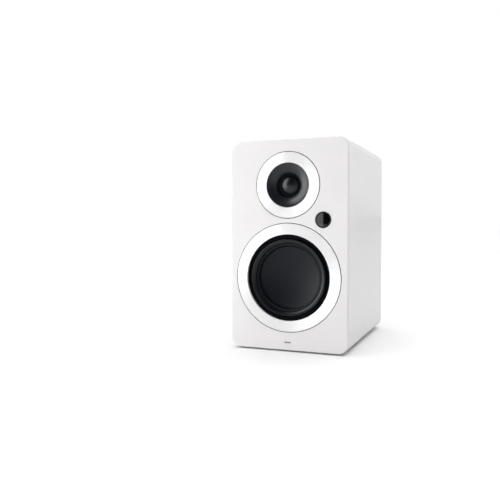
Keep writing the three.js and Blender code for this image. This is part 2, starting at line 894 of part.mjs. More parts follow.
// The two driver leads, each one twin cable held at both of its ends inside the box.
function lead(points, r = 2) {
  const curve = new THREE.CatmullRomCurve3(
    points.map((point) => new THREE.Vector3(...point)),
  );
  const section = new THREE.Shape().absarc(0, 0, r, 0, 2 * Math.PI);
  const options = { steps: 24, extrudePath: curve, curveSegments: 3 };
  return solid(new THREE.ExtrudeGeometry(section, options));
}

const housingFront = DEPTH - HOUSING.depth - GAP;
node(
  "woofer_lead",
  lead([
    [46, 52, WOOFER_Z + 22],
    [50, 64, WOOFER_Z + 24],
    [44, 92, WOOFER_Z + 26],
    [40, 120, WOOFER_Z + 20],
    [38, 150, WOOFER_Z + 26],
    [38, housingFront, WOOFER_Z + 26],
  ]),
  MATERIAL.blackPlastic,
);
node(
  "tweeter_lead",
  lead([
    [20, 30, TWEETER_Z - 10],
    [24, 46, TWEETER_Z - 14],
    [36, 82, TWEETER_Z - 34],
    [40, 118, TWEETER_Z - 60],
    [30, 150, TWEETER_Z - 76],
    [30, housingFront, TWEETER_Z - 78],
  ]),
  MATERIAL.blackPlastic,
);

// Each binding post: a fixed threaded stud bored for a plug, a collar that only slides and a cap that
// turns on the stud.
for (const [color, x] of Object.entries(postSpots)) {
  const post = group(x, 0, POSTS.z);
  const seat = POST.base + POST.block + GAP;
  const capStart = seat + POST.collar + 0.2;
  const capEnd = 2 * HALF_DEPTH - BEZEL_FRONT;
  const studEnd = capEnd - 1.3;
  const hollow = POST.stud + GAP;
  node(
    `post_stud_${color}`,
    cut(
      join(
        disc(POST.stud, DEPTH - 10, studEnd, SMALL_ROUND),
        disc(5, DEPTH - 6, DEPTH, SMALL_ROUND),
      ),
      disc(POST.bore, studEnd - 14, studEnd + 5, SMALL_ROUND),
    ),
    MATERIAL.brass,
    post,
  );
  node(
    `post_collar_${color}`,
    ring(hollow, 6.6, seat, seat + POST.collar, SMALL_ROUND),
    MATERIAL.brass,
    post,
  );
  node(
    `post_cap_${color}`,
    turned(
      [
        [hollow, capStart],
        [7.4, capStart],
        [7.4, capEnd],
        [POST.bore, capEnd],
        [POST.bore, studEnd + GAP],
        [hollow, studEnd + GAP],
      ],
      SMALL_ROUND,
    ),
    color === "red" ? MATERIAL.red : MATERIAL.gloss,
    post,
  );
}

export default speaker;
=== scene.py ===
"""Looks of a powered two-way bookshelf speaker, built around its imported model.

The shape code works in millimetres: x to the right, z up, and y backwards from the front of the baffle.
Most pieces are bodies of revolution about a line along y (lathe) or flat boards with holes (board).
"""

from math import atan, cos, hypot, pi, radians, sin, sqrt, tan

import bmesh
import bpy
from mathutils import Matrix, Vector, noise


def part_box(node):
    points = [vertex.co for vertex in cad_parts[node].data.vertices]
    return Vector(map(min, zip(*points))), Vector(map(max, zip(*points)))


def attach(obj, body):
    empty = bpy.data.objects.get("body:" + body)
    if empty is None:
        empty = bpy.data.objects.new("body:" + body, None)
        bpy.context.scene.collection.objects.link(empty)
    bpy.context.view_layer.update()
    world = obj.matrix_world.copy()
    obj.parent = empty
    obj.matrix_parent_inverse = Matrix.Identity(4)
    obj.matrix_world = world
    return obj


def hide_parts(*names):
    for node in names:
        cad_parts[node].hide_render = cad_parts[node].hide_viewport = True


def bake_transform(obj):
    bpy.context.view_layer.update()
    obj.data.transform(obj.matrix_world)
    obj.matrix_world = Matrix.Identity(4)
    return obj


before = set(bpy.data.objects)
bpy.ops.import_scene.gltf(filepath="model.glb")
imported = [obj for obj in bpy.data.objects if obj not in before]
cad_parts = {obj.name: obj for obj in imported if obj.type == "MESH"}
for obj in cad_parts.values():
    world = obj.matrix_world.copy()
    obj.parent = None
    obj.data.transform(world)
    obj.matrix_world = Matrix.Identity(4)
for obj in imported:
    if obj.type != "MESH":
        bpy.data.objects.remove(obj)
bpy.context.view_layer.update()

MM = 0.001
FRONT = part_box("front_baffle")[0].y / MM  # where y = 0 of the shape code lies in the frame
TURN = 2 * pi


# ---- Places and sizes read from the frame ----
def middle(node):
    """x and z of a node's middle."""
    low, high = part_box(node)
    return (low.x + high.x) / 2 / MM, (low.z + high.z) / 2 / MM


def depth(node):
    """First and last y of a node, behind the front of the baffle."""
    low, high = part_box(node)
    return low.y / MM - FRONT, high.y / MM - FRONT


def size(node):
    """Width in x and height in z of a node."""
    low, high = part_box(node)
    return (high.x - low.x) / MM, (high.z - low.z) / MM


WIDTH, HEIGHT = size("cabinet_wrap")
DEPTH = depth("cabinet_wrap")[1]
MIDDLE_Z = middle("cabinet_wrap")[1]
CORNER = 14  # radius of the long edges
WOOFER = middle("woofer_trim_ring")
TWEETER = middle("tweeter_trim_ring")
WINDOW = middle("display_bezel")
PORT = middle("port_tube")
PLATE = middle("amp_plate")
OUT = depth("amp_plate")[1]  # face of the amplifier plate
KNOB = middle("volume_knob")
INLET = middle("mains_inlet")
SWITCH = middle("power_switch_body")
OPTICAL = middle("optical_socket")
GAP = 0.3  # clearance between neighbours, as in the frame


# ---- Materials ----
def feed(tree, socket, value):
    """Links a socket to another node's output, or sets it to a plain value."""
    if isinstance(value, bpy.types.NodeSocket):
        tree.links.new(value, socket)
    else:
        socket.default_value = value


def add_node(tree, kind, inputs=(), **settings):
    """A shader node with its inputs fed and its settings set."""
    made = tree.nodes.new("ShaderNode" + kind)
    for name, value in settings.items():
        setattr(made, name, value)
    for name, value in dict(inputs).items():
        feed(tree, made.inputs[name], value)
    return made


def map_range(tree, value, start, end, low, high):
    inputs = {"Value": value, "From Min": start, "From Max": end, "To Min": low, "To Max": high}
    return add_node(tree, "MapRange", inputs).outputs["Result"]


class Look:
    """A Principled material with the few node patterns that the pieces share."""

    def __init__(self, name, color, roughness, metallic=0.0, **sockets):
        self.material = bpy.data.materials.new(name)
        self.material.use_nodes = True
        self.tree = self.material.node_tree
        self.shader = self.tree.nodes["Principled BSDF"]
        self.color = color
        self.height = None
        self.set(Base_Color=(*color, 1), Roughness=roughness, Metallic=metallic, **sockets)
        self.place = self.node("TexCoord").outputs["Object"]
        self.material.diffuse_color = (*color, 1)

    def set(self, **sockets):
        for name, value in sockets.items():
            feed(self.tree, self.shader.inputs[name.replace("_", " ")], value)
        return self

    def node(self, kind, inputs=(), **settings):
        return add_node(self.tree, kind, inputs, **settings)

    def math(self, operation, a, b=0.0):
        return self.node("Math", {0: a, 1: b}, operation=operation).outputs[0]

    def stretched(self, x, y, z):
        """The place on the piece with its axes stretched."""
        node = self.node("VectorMath", {0: self.place, 1: (x, y, z)}, operation="MULTIPLY")
        return node.outputs[0]

    def reach(self):
        """Distance from the piece's own y axis, in metres."""
        flat = self.stretched(1, 0, 1)
        return self.node("VectorMath", {0: flat}, operation="LENGTH").outputs["Value"]

    def axis(self, letter):
        return self.node("SeparateXYZ", {0: self.place}).outputs[letter]

    def noise(self, scale, detail=2.0, place=None, roughness=0.5):
        inputs = {"Vector": place or self.place, "Scale": scale, "Detail": detail, "Roughness": roughness}
        return self.node("TexNoise", inputs).outputs["Fac"]

    def line_noise(self, along, scale, detail=3.0):
        """Noise that changes along one coordinate only, such as turning marks."""
        inputs = {"W": along, "Scale": scale, "Detail": detail}
        return self.node("TexNoise", inputs, noise_dimensions="1D").outputs["Fac"]

    def wave(self, along, per_metre):
        """A sine from 0 to 1 along a coordinate."""
        turned = self.math("MULTIPLY", along, TURN * per_metre)
        return self.math("MULTIPLY_ADD", self.math("SINE", turned), 0.5)

    def ramp(self, value, low, high, start=0.3, end=0.7):
        return map_range(self.tree, value, start, end, low, high)

    def tint(self, value, dark, light, start=0.3, end=0.7):
        """Makes the base colour darker and lighter with a pattern."""
        ends = {6: (*[c * dark for c in self.color], 1), 7: (*[c * light for c in self.color], 1)}
        share = self.ramp(value, 0, 1, start, end)
        mix = self.node("Mix", {0: share, **ends}, data_type="RGBA")
        return self.set(Base_Color=mix.outputs[2])

    def rough(self, value, low, high, start=0.3, end=0.7):
        return self.set(Roughness=self.ramp(value, low, high, start, end))

    def bump(self, value, distance, strength=1.0):
        """Raises the surface by up to distance, in metres. Bumps add up."""
        inputs = {"Height": value, "Distance": distance, "Strength": strength}
        if self.height is not None:
            inputs["Normal"] = self.height
        self.height = self.node("Bump", inputs).outputs["Normal"]
        return self.set(Normal=self.height)


def lacquer_look():
    look = Look("white_lacquer", (0.80, 0.787, 0.785), 0.34, Specular_IOR_Level=0.2, Coat_Weight=0.05)
    look.rough(look.noise(30, 3), 0.30, 0.38)
    look.tint(look.noise(7, 2), 0.985, 1.01)
    look.bump(look.noise(230, 2), 2e-5)
    return look.bump(look.noise(1700, 2), 4e-6)


def turned_metal_look(name, color, roughness, line=2200, anisotropic=0.9):
    """Metal faced on a lathe: fine rings, and a highlight that fans out from the middle."""
    look = Look(name, color, roughness, 1.0, Anisotropic=anisotropic)
    tangent = look.node("Tangent", direction_type="RADIAL", axis="Y")
    look.set(Tangent=tangent.outputs[0], Anisotropic_Rotation=0.25)
    rings = look.line_noise(look.reach(), line, 4)
    look.rough(rings, roughness - 0.05, roughness + 0.06)
    look.tint(look.line_noise(look.reach(), line / 3, 2), 0.96, 1.02)
    return look.bump(rings, 3e-6)


def brushed_look(name, color, roughness, stretch=(1, 30, 30), scale=60):
    look = Look(name, color, roughness, 1.0)
    streaks = look.noise(scale, 4, look.stretched(*stretch))
    look.rough(streaks, roughness - 0.06, roughness + 0.08)
    look.tint(streaks, 0.9, 1.05)
    return look.bump(streaks, 4e-6)


def moulded_look(name, color, roughness, grain=1300, height=2e-5, specular=0.5, metallic=0.0):
    look = Look(name, color, roughness, metallic, Specular_IOR_Level=specular)
    look.rough(look.noise(45, 3), roughness - 0.05, roughness + 0.06)
    look.tint(look.noise(18, 2), 0.85, 1.15)
    return look.bump(look.noise(grain, 2), height)


def cone_look():
    """Pressed fibre with a satin coat: fine fibres that run every way."""
    look = Look("cone_fibre", (0.0028, 0.0038, 0.0068), 0.4, Specular_IOR_Level=0.2)
    fibres = look.noise(420, 5, look.stretched(1, 1, 2.2), 0.65)
    look.tint(fibres, 0.8, 1.25)
    look.rough(look.noise(900, 3), 0.38, 0.47)
    return look.bump(fibres, 2e-5)


def woven_look(name, color, roughness, threads, height, dark=0.7, light=1.3):
    """Cloth with its threads along x and z, as seen from the front."""
    look = Look(name, color, roughness)
    across = look.wave(look.axis("X"), threads)
    along = look.wave(look.axis("Z"), threads)
    weave = look.math("MULTIPLY", across, along)
    look.tint(weave, dark, light, 0, 1)
    return look.bump(weave, height)


def wound_look():
    look = Look("copper_wire", (0.62, 0.26, 0.12), 0.28, 1.0)
    turns = look.wave(look.axis("Y"), 3200)
    look.tint(turns, 0.6, 1.1, 0, 1)
    return look.bump(turns, 6e-5)


def speckled_look(name, color, roughness, scale, dark, light, height):
    look = Look(name, color, roughness)
    grain = look.noise(scale, 5, roughness=0.7)
    look.tint(grain, dark, light)
    return look.bump(grain, height)


def wadding_look():
    look = Look("polyester_wadding", (0.82, 0.82, 0.8), 0.95, Sheen_Weight=0.5)
    fibres = look.noise(260, 8, look.stretched(1, 3, 1.6), 0.75)
    look.tint(fibres, 0.8, 1.08)
    return look.bump(fibres, 0.0012)


def circuit_look():
    look = Look("solder_mask", (0.012, 0.13, 0.05), 0.3, Coat_Weight=0.4)
    tracks = look.node("TexBrick", {"Vector": look.stretched(1, 1, 1), "Scale": 90.0})
    look.tint(tracks.outputs["Fac"], 0.8, 1.5, 0, 1)
    return look.bump(tracks.outputs["Fac"], 5e-5)


LACQUER = lacquer_look()
BOARD = speckled_look("raw_fibreboard", (0.42, 0.29, 0.17), 0.85, 900, 0.75, 1.2, 6e-5)
TRIM = turned_metal_look("turned_aluminium", (0.94, 0.94, 0.94), 0.42).set(Metallic=0.45)
CHROME = turned_metal_look("plated_brass", (0.78, 0.62, 0.34), 0.24, 3000, 0.5)
BADGE = brushed_look("badge_metal", (0.32, 0.32, 0.33), 0.35)
STEEL = brushed_look("zinc_steel", (0.58, 0.59, 0.61), 0.36, (1, 1, 1), 300)
BLACK = moulded_look("black_plastic", (0.018, 0.019, 0.021), 0.42)
GUIDE = moulded_look("waveguide_plastic", (0.0025, 0.004, 0.007), 0.32, 2400, 6e-6, 0.42)
PANE = Look("window_pane", (0.002, 0.0022, 0.003), 0.02)
PANE.rough(PANE.noise(25), 0.012, 0.03)
GLOSS = moulded_look("black_gloss", (0.002, 0.0022, 0.003), 0.06, 300, 4e-7)
FRAME = moulded_look("frame_coat", (0.0015, 0.0022, 0.0035), 0.55, 1500, 3e-5, 0.06)
COATED = moulded_look("powder_coat", (0.018, 0.0185, 0.0195), 0.5, 1500, 5e-5)
KNURL = moulded_look("knob_metal", (0.03, 0.031, 0.033), 0.34, 2600, 8e-6, metallic=0.6)
RED = moulded_look("red_plastic", (0.38, 0.012, 0.014), 0.28, 1500, 6e-6)
WHITE = moulded_look("white_plastic", (0.72, 0.72, 0.70), 0.35, 1500, 6e-6)
PRINT = moulded_look("printed_grey", (0.42, 0.42, 0.43), 0.6, 3000, 4e-6)
FOAM = speckled_look("black_foam", (0.006, 0.006, 0.0065), 0.95, 1500, 0.6, 1.3, 0.0001)
RUBBER = moulded_look("surround_rubber", (0.0022, 0.003, 0.005), 0.33, 2400, 4e-6, 0.28)
CONE = cone_look()
SILK = woven_look("coated_silk", (0.0015, 0.0025, 0.0045), 0.33, 2400, 3e-6, 0.8, 1.2)
SILK.set(Specular_IOR_Level=0.42)
CLOTH = woven_look("resin_cloth", (0.42, 0.23, 0.09), 0.8, 1500, 6e-5)
COPPER = wound_look()
FERRITE = speckled_look("ferrite", (0.035, 0.035, 0.038), 0.62, 1300, 0.7, 1.4, 3e-5)
WADDING = wadding_look()
CIRCUIT = circuit_look()


# ---- Shapes ----
def rounded(corners, steps=4):
    """A closed outline from corners (u, v) or (u, v, radius), with arcs where there is a radius."""
    outline = []
    for i, (u, v, *radius) in enumerate(corners):
        here = Vector((u, v))
        if not radius:
            outline.append((u, v))
            continue
        back = Vector(corners[i - 1][:2]) - here
        ahead = Vector(corners[(i + 1) % len(corners)][:2]) - here
        half = back.angle(ahead) / 2
        reach = min(radius[0] / tan(half), 0.49 * back.length, 0.49 * ahead.length)
        r = reach * tan(half)
        centre = here + (back.normalized() + ahead.normalized()).normalized() * r / sin(half)
        start = here + back.normalized() * reach - centre
        sweep = start.angle_signed(here + ahead.normalized() * reach - centre)
        for k in range(steps + 1):
            spoke = start.copy()
            spoke.rotate(Matrix.Rotation(-sweep * k / steps, 2))
            outline.append(tuple(centre + spoke))
    return outline


def arc(u, v, a, b, start, end, steps):
    """Points of an ellipse arc about (u, v), from one angle to another in degrees."""
    angles = [radians(start + (end - start) * k / steps) for k in range(steps + 1)]
    return [(u + a * cos(t), v + b * sin(t)) for t in angles]


def rectangle(w, h, r, x=0.0, z=0.0, steps=6):
    """A loop that can grow: a rectangle with round corners."""

    def loop(grow):
        c = max(r + grow, 0.02)
        points = []
        for k, (right, up) in enumerate(((1, -1), (1, 1), (-1, 1), (-1, -1))):
            cx, cz = x + right * (w / 2 + grow - c), z + up * (h / 2 + grow - c)
            points += arc(cx, cz, c, c, 90 * k - 90, 90 * k, steps)
        return points

    return loop


def circle(r, x=0.0, z=0.0, steps=48):
    return lambda grow: arc(x, z, r + grow, r + grow, 0, 360, steps)[:-1]


def wall(y0, y1, front=0.0, back=0.0, inner=False, steps=4):
    """How a loop runs from y0 to y1, as (grow, y), with its two edges rounded off."""
    side = 1 if inner else -1
    quarter = [radians(90 * k / steps) for k in range(steps + 1)]
    start = [(side * front * (1 - sin(t)), y0 + front * (1 - cos(t))) for t in quarter]
    end = [(side * back * (1 - sin(t)), y1 - back * (1 - cos(t))) for t in quarter]
    return (start if front else start[-1:]) + (end[::-1] if back else end[-1:])


def placed(name, data, at=(0, 0), y=-FRONT):
    """A new object at the x and z of at. With no place given, it lies at the frame's origin."""
    made = bpy.data.objects.new(name, data)
    bpy.context.scene.collection.objects.link(made)
    made.location = Vector((at[0], FRONT + y, at[1])) * MM
    return made


def smoothed(piece, sharp=32, keep_flat=True):
    """Smooth shading with creases at the sharper edges, where large flat faces stay flat."""
    piece.data.shade_smooth()
    piece.data.set_sharp_from_angle(angle=radians(sharp))
    if keep_flat:
        piece.modifiers.new("keep_flat", "WEIGHTED_NORMAL").keep_sharp = True
    return piece


def make(name, fill, look, at=(0, 0), y=0.0, sharp=32, keep_flat=True):
    """A mesh object in metres, from a bmesh in millimetres about a point at (x, z) and y."""
    bmesh.ops.recalc_face_normals(fill, faces=fill.faces)
    mesh = bpy.data.meshes.new(name)
    fill.to_mesh(mesh)
    fill.free()
    mesh.transform(Matrix.Scale(MM, 4))
    mesh.materials.append(look.material)
    return smoothed(placed(name, mesh, at, y), sharp, keep_flat)


def revolve(fill, outline, segments, radial=None):
    """Adds a body of revolution about y to a bmesh. radial(r, angle) may change a radius."""
    rings = []
    for r, y in outline:
        if r < 1e-6:
            rings.append([fill.verts.new((0, y, 0))])
            continue
        ring = []
        for k in range(segments):
            angle = TURN * k / segments
            reach = radial(r, angle) if radial else r
            ring.append(fill.verts.new((reach * cos(angle), y, reach * sin(angle))))
        rings.append(ring)
    for a, b in zip(rings, rings[1:] + rings[:1]):
        if len(a) == len(b) == 1:
            continue
        for k in range(segments):
            corners = [a[k - 1 if len(a) > 1 else 0], a[k if len(a) > 1 else 0]]
            corners += [b[k if len(b) > 1 else 0], b[k - 1 if len(b) > 1 else 0]]
            fill.faces.new(list(dict.fromkeys(corners)))


def lathe(name, outline, look, at=(0, 0), segments=96, radial=None, **kwargs):
    """A body of revolution about the y axis through at, from a closed outline of (radius, y)."""
    fill = bmesh.new()
    revolve(fill, outline, segments, radial)
    return make(name, fill, look, at, **kwargs)


def add_board(fill, outer, holes=()):
    """Adds a board to a bmesh from loops and how they run in y: (loop, wall). A blind hole is
    (loop, wall, side), with the wall running inwards from the front, or outwards to the back."""
    rims = {"front": [], "back": []}
    for loop, profile, *blind in (outer, *holes):
        rings = [[fill.verts.new((x, y, z)) for x, z in loop(grow)] for grow, y in profile]
        for a, b in zip(rings, rings[1:]):
            for k in range(len(a)):
                fill.faces.new((a[k - 1], a[k], b[k], b[k - 1]))
        for side, ring, floor in (("front", rings[0], rings[-1]), ("back", rings[-1], rings[0])):
            if not blind or blind[0] == side:
                rims[side] += [fill.edges.get((ring[k - 1], ring[k])) for k in range(len(ring))]
            if blind and blind[0] == side:
                fill.faces.new(floor)
    for side, facing in (("front", -1), ("back", 1)):
        bmesh.ops.triangle_fill(fill, use_beauty=True, edges=rims[side], normal=(0, facing, 0))


def board(name, outer, look, holes=(), **kwargs):
    """A flat piece, with its loops about at, or else in the frame's own x and z."""
    fill = bmesh.new()
    add_board(fill, outer, holes)
    return make(name, fill, look, **kwargs)


def join(fill, other, matrix=Matrix()):
    """Moves all of one bmesh into another, to where the matrix puts it."""
    carrier = bpy.data.meshes.new("carrier")
    other.to_mesh(carrier)
    other.free()
    carrier.transform(matrix)
    fill.from_mesh(carrier)
    bpy.data.meshes.remove(carrier)


def turn(degrees, axis):
    return Matrix.Rotation(radians(degrees), 4, axis)


def transformed(piece, matrix):
    """Turns a piece's mesh about its own origin."""
    piece.data.transform(matrix)
    return piece


def carve(piece, *tools):
    """Cuts the tools out of a piece for good."""
    piece.modifiers.clear()
    for tool in tools:
        cut = piece.modifiers.new("cut", "BOOLEAN")
        cut.object, cut.solver = tool, "EXACT"
    bpy.context.view_layer.update()
    seen = piece.evaluated_get(bpy.context.evaluated_depsgraph_get())
    mesh = bpy.data.meshes.new_from_object(seen)
    piece.modifiers.clear()
    piece.data = mesh
    for tool in tools:
        bpy.data.objects.remove(tool)
    return smoothed(piece)


def tool_box(w, d, h, at, y, radius=0.0):
    """A block to cut with: w in x, d in y and h in z about its middle."""
    loop = rectangle(w, h, radius or 0.01, steps=4 if radius else 1)
    return board("tool", (loop, wall(-d / 2, d / 2)), BLACK, at=at, y=y, keep_flat=False)


def strands(name, paths, radius, look):
    """Round wires along smooth paths of points (x, y, z)."""
    curve = bpy.data.curves.new(name, "CURVE")
    curve.dimensions = "3D"
    curve.bevel_depth = radius * MM
    curve.bevel_resolution, curve.resolution_u = 4, 8
    curve.use_fill_caps = True
    for path in paths:
        spline = curve.splines.new("BEZIER")
        spline.bezier_points.add(len(path) - 1)
        for point, (x, y, z) in zip(spline.bezier_points, path):
            point.co = Vector((x, FRONT + y, z)) * MM
            point.handle_left_type = point.handle_right_type = "AUTO"
    curve.materials.append(look.material)
    return placed(name, curve)


def tube(inner, outer, y0, y1, edge=0.2):
    """The outline of a plain ring or, with no inner radius, a disc, with its edges broken."""
    if not inner:
        return rounded([(0, y0), (outer, y0, edge), (outer, y1, edge), (0, y1)], 3)
    return rounded([(inner, y0, edge), (outer, y0, edge), (outer, y1, edge), (inner, y1, edge)], 3)


def fit(piece, body, slot, *nodes):
    """A piece rides on a body and stands for CAD nodes, which it hides. slot is not used."""
    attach(piece, body)
    if nodes:
        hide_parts(*nodes)
    return piece


def fixed(piece, slot, *nodes):
    """A piece that stays on the cabinet."""
    return fit(piece, "cabinet", slot, *nodes)


def again(piece, name, at, y):
    """Another copy of a piece, sharing its mesh."""
    copy = placed(name, piece.data, at, y)
    for modifier in piece.modifiers:
        copy.modifiers.new(modifier.name, modifier.type).keep_sharp = True
    return copy


def fluted(count, cut, r0):
    """A radial rule that cuts grooves along y into all that lies outside the radius r0."""
    return lambda r, angle: r if r < r0 else r - cut * (0.5 - 0.5 * cos(count * angle))


# ---- Cabinet ----
LIP, BAFFLE = 3.0, depth("front_baffle")[1]
SHADOW_GAP = 0.6
RING_SEAT = depth("woofer_trim_ring")[1] + GAP
WOOFER_RING = {"outer": size("woofer_trim_ring")[0] / 2, "inner": 59.4}
TWEETER_RING = {"outer": size("tweeter_trim_ring")[0] / 2, "inner": 30.4}
INSIDE = WIDTH - 24, HEIGHT - 24, 3.0  # width, height and corner radius
PANEL = INSIDE[0] - 2 * GAP, INSIDE[1] - 2 * GAP, INSIDE[2]


def driver_hole(where, ring, flange, seat, clear):
    """The stepped opening for a driver and its trim ring."""
    r = ring["outer"] + SHADOW_GAP
    profile = wall(0, RING_SEAT, 0.35, 0, inner=True)
    for step, start, end in ((flange, RING_SEAT, seat), (clear, seat, BAFFLE)):
        profile += [(step - r, start), (step - r, end)]
    return circle(r, *where, steps=160), profile


badge_w, badge_h = size("badge")
badge_seat = rectangle(badge_w + GAP, badge_h + GAP, badge_h / 2, *middle("badge"))
window_hole = circle(size("display_bezel")[0] / 2 - 4 + 0.1, *WINDOW, 96)
openings = [
    driver_hole(WOOFER, WOOFER_RING, 67.5, 8.4, 60.3),
    driver_hole(TWEETER, TWEETER_RING, 42.8, 6.6, 31.5),
    (window_hole, wall(0, BAFFLE, 0.3, 0, True)),
    (badge_seat, wall(0, 0.7, 0.12, 0, True, 2), "front"),
]
contour = rectangle(WIDTH, HEIGHT, CORNER, 0, MIDDLE_Z, 18)
plug = [((PANEL[0] - WIDTH) / 2, y) for y in (LIP, BAFFLE)]
lip_and_plug = wall(0, LIP, 2.0, 0.3, steps=7) + plug
fixed(board("front_baffle_shell", (contour, lip_and_plug), LACQUER, openings), "lacquer", "front_baffle")

wrap_y = depth("cabinet_wrap")
room = (rectangle(*INSIDE, 0, MIDDLE_Z), wall(*wrap_y, 0, 0.3, True))
fixed(board("cabinet_shell", (contour, wall(*wrap_y, 0.3, 1.2)), LACQUER, [room]), "lacquer", "cabinet_wrap")

housing_w, housing_h = size("amp_housing")
panel_y = depth("rear_panel")
amp_hole = (rectangle(housing_w + 1, housing_h + 1, 4.5, *PLATE), wall(*panel_y, inner=True))
port_hole = (circle(26.2, *PORT, 96), wall(*panel_y, 0, 0.3, True))
rear_sheet = (rectangle(*PANEL, 0, MIDDLE_Z), wall(*panel_y, 0, 0.4))
fixed(board("rear_board", rear_sheet, LACQUER, [amp_hole, port_hole]), "lacquer", "rear_panel")

pill = (rectangle(badge_w, badge_h, 0.49 * badge_h, *middle("badge"), 12), wall(*depth("badge"), 0.25, 0))
fixed(board("badge_plate", pill, BADGE), "badge_metal", "badge")

for place in ("front_left", "front_right", "rear_left", "rear_right"):
    node = f"foot_{place}"
    low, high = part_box(node)
    r = size(node)[0] / 2
    tall = (high.z - low.z) / MM
    sole = rounded([(0, 0), (r, 0, 0.5), (r - 0.5, tall), (0, tall)])
    foot = lathe(f"{node}_pad", sole, RUBBER, segments=64)
    transformed(foot, turn(90, "X"))
    foot.location = ((low.x + high.x) / 2, (low.y + high.y) / 2, 0)
    fixed(foot, "rubber", node)


# ---- Trim rings ----
for driver, where, ring in (("woofer", WOOFER, WOOFER_RING), ("tweeter", TWEETER, TWEETER_RING)):
    node = f"{driver}_trim_ring"
    face, back = depth(node)
    edge, clear = ring["outer"] - 0.35, ring["outer"] + SHADOW_GAP - 0.02
    corners = [(ring["inner"], face, 0.4), (edge, face, 0.3), (edge, back), (ring["inner"], back)]
    fixed(lathe(f"{driver}_ring", rounded(corners, 5), TRIM, where, 192), "trim_aluminium", node)
    # Black foam behind the ring, with a thin sleeve that fills the shadow gap up to 0.25 mm under the face:
    # painted shade that darkens the line round the ring.
    seal_and_gap_shade = [(edge - 3, back + 0.03), (edge + 0.02, back + 0.03), (edge + 0.02, 0.25), (clear, 0.25)]
    seal_and_gap_shade += [(clear, back + 0.27), (edge - 3, back + 0.27)]
    fixed(lathe(f"{driver}_ring_seal_and_gap_shade", seal_and_gap_shade, FOAM, where, 192), "rubber")


# ---- Woofer ----
# Radii of the cone's rim and of the surround: its lip, where the roll starts and ends, and its foot.
CONE_EDGE, LIP_EDGE, ROLL_IN, ROLL_TOP, ROLL_OUT, FOOT_EDGE = 44.5, 45.2, 46.9, 52.0, 53.7, 57.2
CONE_RIM, CONE_DEEP, CONE_WALL = 6.4, 10.6, 0.9
DISH, DISH_DEEP = 42.4, 6.6  # radius and depth of the shallow dish inside the cone's steep rim
CREST, LANDING = 0.5, 10.5  # y of the roll's front and of where its foot is glued to the frame


def cone_outline():
    rim, bottom = CONE_EDGE, CONE_RIM + CONE_DEEP
    dish = [(DISH * k / 30, bottom - DISH_DEEP * (k / 30) ** 2) for k in range(31)]
    neck_end = depth("woofer_former")[0] + 3.9
    edge = [dish[-2], (*dish[-1], 0.8), (rim - 0.35, CONE_RIM + 0.25, 0.3), (rim, CONE_RIM, 0.2)]
    edge += [(LIP_EDGE + 1, CONE_RIM, 0.3), (LIP_EDGE + 1, CONE_RIM + CONE_WALL)]
    edge.append((rim + 0.2, CONE_RIM + CONE_WALL))
    back = [(r + 0.4, y + CONE_WALL + 0.2) for r, y in dish[12:31:3]][::-1]
    neck = [(14.7, dish[10][1] + CONE_WALL), (14.7, neck_end)]
    neck += [(13.3, neck_end), (13.3, dish[9][1] + CONE_WALL)]
    return dish[:-2] + rounded(edge) + back + neck + [(0, bottom + CONE_WALL)]


def surround_outline():
    """A roll that rises gently from the cone and falls steeply to the frame."""
    thick, lip_y, foot_y = 0.8, CONE_RIM - GAP, LANDING - GAP

    def quarter(foot, y, top, steps=16):
        side = 180 if foot < ROLL_TOP else 360
        return arc(ROLL_TOP, y, abs(foot - ROLL_TOP), y - top, side, 270, steps)

    over = quarter(ROLL_IN - thick / 2, lip_y - thick, CREST)
    over += quarter(ROLL_OUT + thick / 2, foot_y - thick, CREST)[-2::-1]
    under = quarter(ROLL_IN + thick / 2, lip_y, CREST + thick)
    under += quarter(ROLL_OUT - thick / 2, foot_y, CREST + thick)[-2::-1]
    foot = [(FOOT_EDGE, foot_y - thick), (FOOT_EDGE, foot_y)]
    return [(LIP_EDGE, lip_y - thick), *over, *foot, *under[::-1], (LIP_EDGE, lip_y)]


def flexible(piece, node):
    """Hides the CAD node that a ring stands for, and moves the ring's place into its mesh."""
    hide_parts(node)
    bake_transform(piece)


fit(lathe("woofer_cone_dish", cone_outline(), CONE, WOOFER, 160), "woofer_moving", "cone", "woofer_cone")
surround = lathe("woofer_roll", surround_outline(), RUBBER, WOOFER, 192)
flexible(surround, "woofer_surround")
edge_gasket = tube(ROLL_OUT + 0.8, FOOT_EDGE - 0.1, 4.2, LANDING - 1.2, 0.3)
fixed(lathe("woofer_edge_gasket", edge_gasket, FRAME, WOOFER, 192), "rubber")


# ---- Tweeter ----
MOTOR = depth("tweeter_top_plate")[0]
DOME_BASE = MOTOR - 1.8


def waveguide_outline():
    """A flare that turns steeper towards a throat with three fine steps."""
    seat = depth("tweeter_trim_ring")[1] + GAP
    outer = TWEETER_RING["inner"] - GAP
    flare = [(outer, 0.6), (28.5, 0.85), (26.5, 1.45), (24.5, 2.25), (22.5, 3.2), (20.8, 4.15)]
    flare.append((19.4, 5.1))
    steps = []
    for k in range(3):
        r, y = 19.1 - 0.6 * k, 5.4 + 0.6 * k
        steps += [(r, y, 0.08), (r - 0.1, y + 0.45, 0.08), (r - 0.45, y + 0.5, 0.08)]
    throat = [(17.4, 7.3, 0.1), (17.4, DOME_BASE - 0.9), (22, DOME_BASE - 0.9)]
    back = [(22, MOTOR - GAP), (31, MOTOR - GAP), (31, 6.3), (42.3, 6.3), (42.3, seat), (outer, seat)]
    return rounded(flare + steps + throat + back, 3)


def dome_outline():
    r, rise, thick = 12.5, 5.4, 0.4
    sphere = (r * r + rise * rise) / (2 * rise)

    def cap(extra):
        reaches = [r * k / 20 for k in range(21)]
        return [(q, DOME_BASE - (sqrt(sphere**2 - q * q) - sphere + rise) + extra) for q in reaches]

    return cap(0) + cap(thick)[::-1]


def dome_roll_outline():
    front = [(12.53, DOME_BASE + 0.05)] + arc(14.7, DOME_BASE + 0.1, 1.7, 0.6, 160, 20, 8)
    front += [(16.9, DOME_BASE), (21.4, DOME_BASE)]
    return front + [(r, y + 0.4) for r, y in front[::-1]]


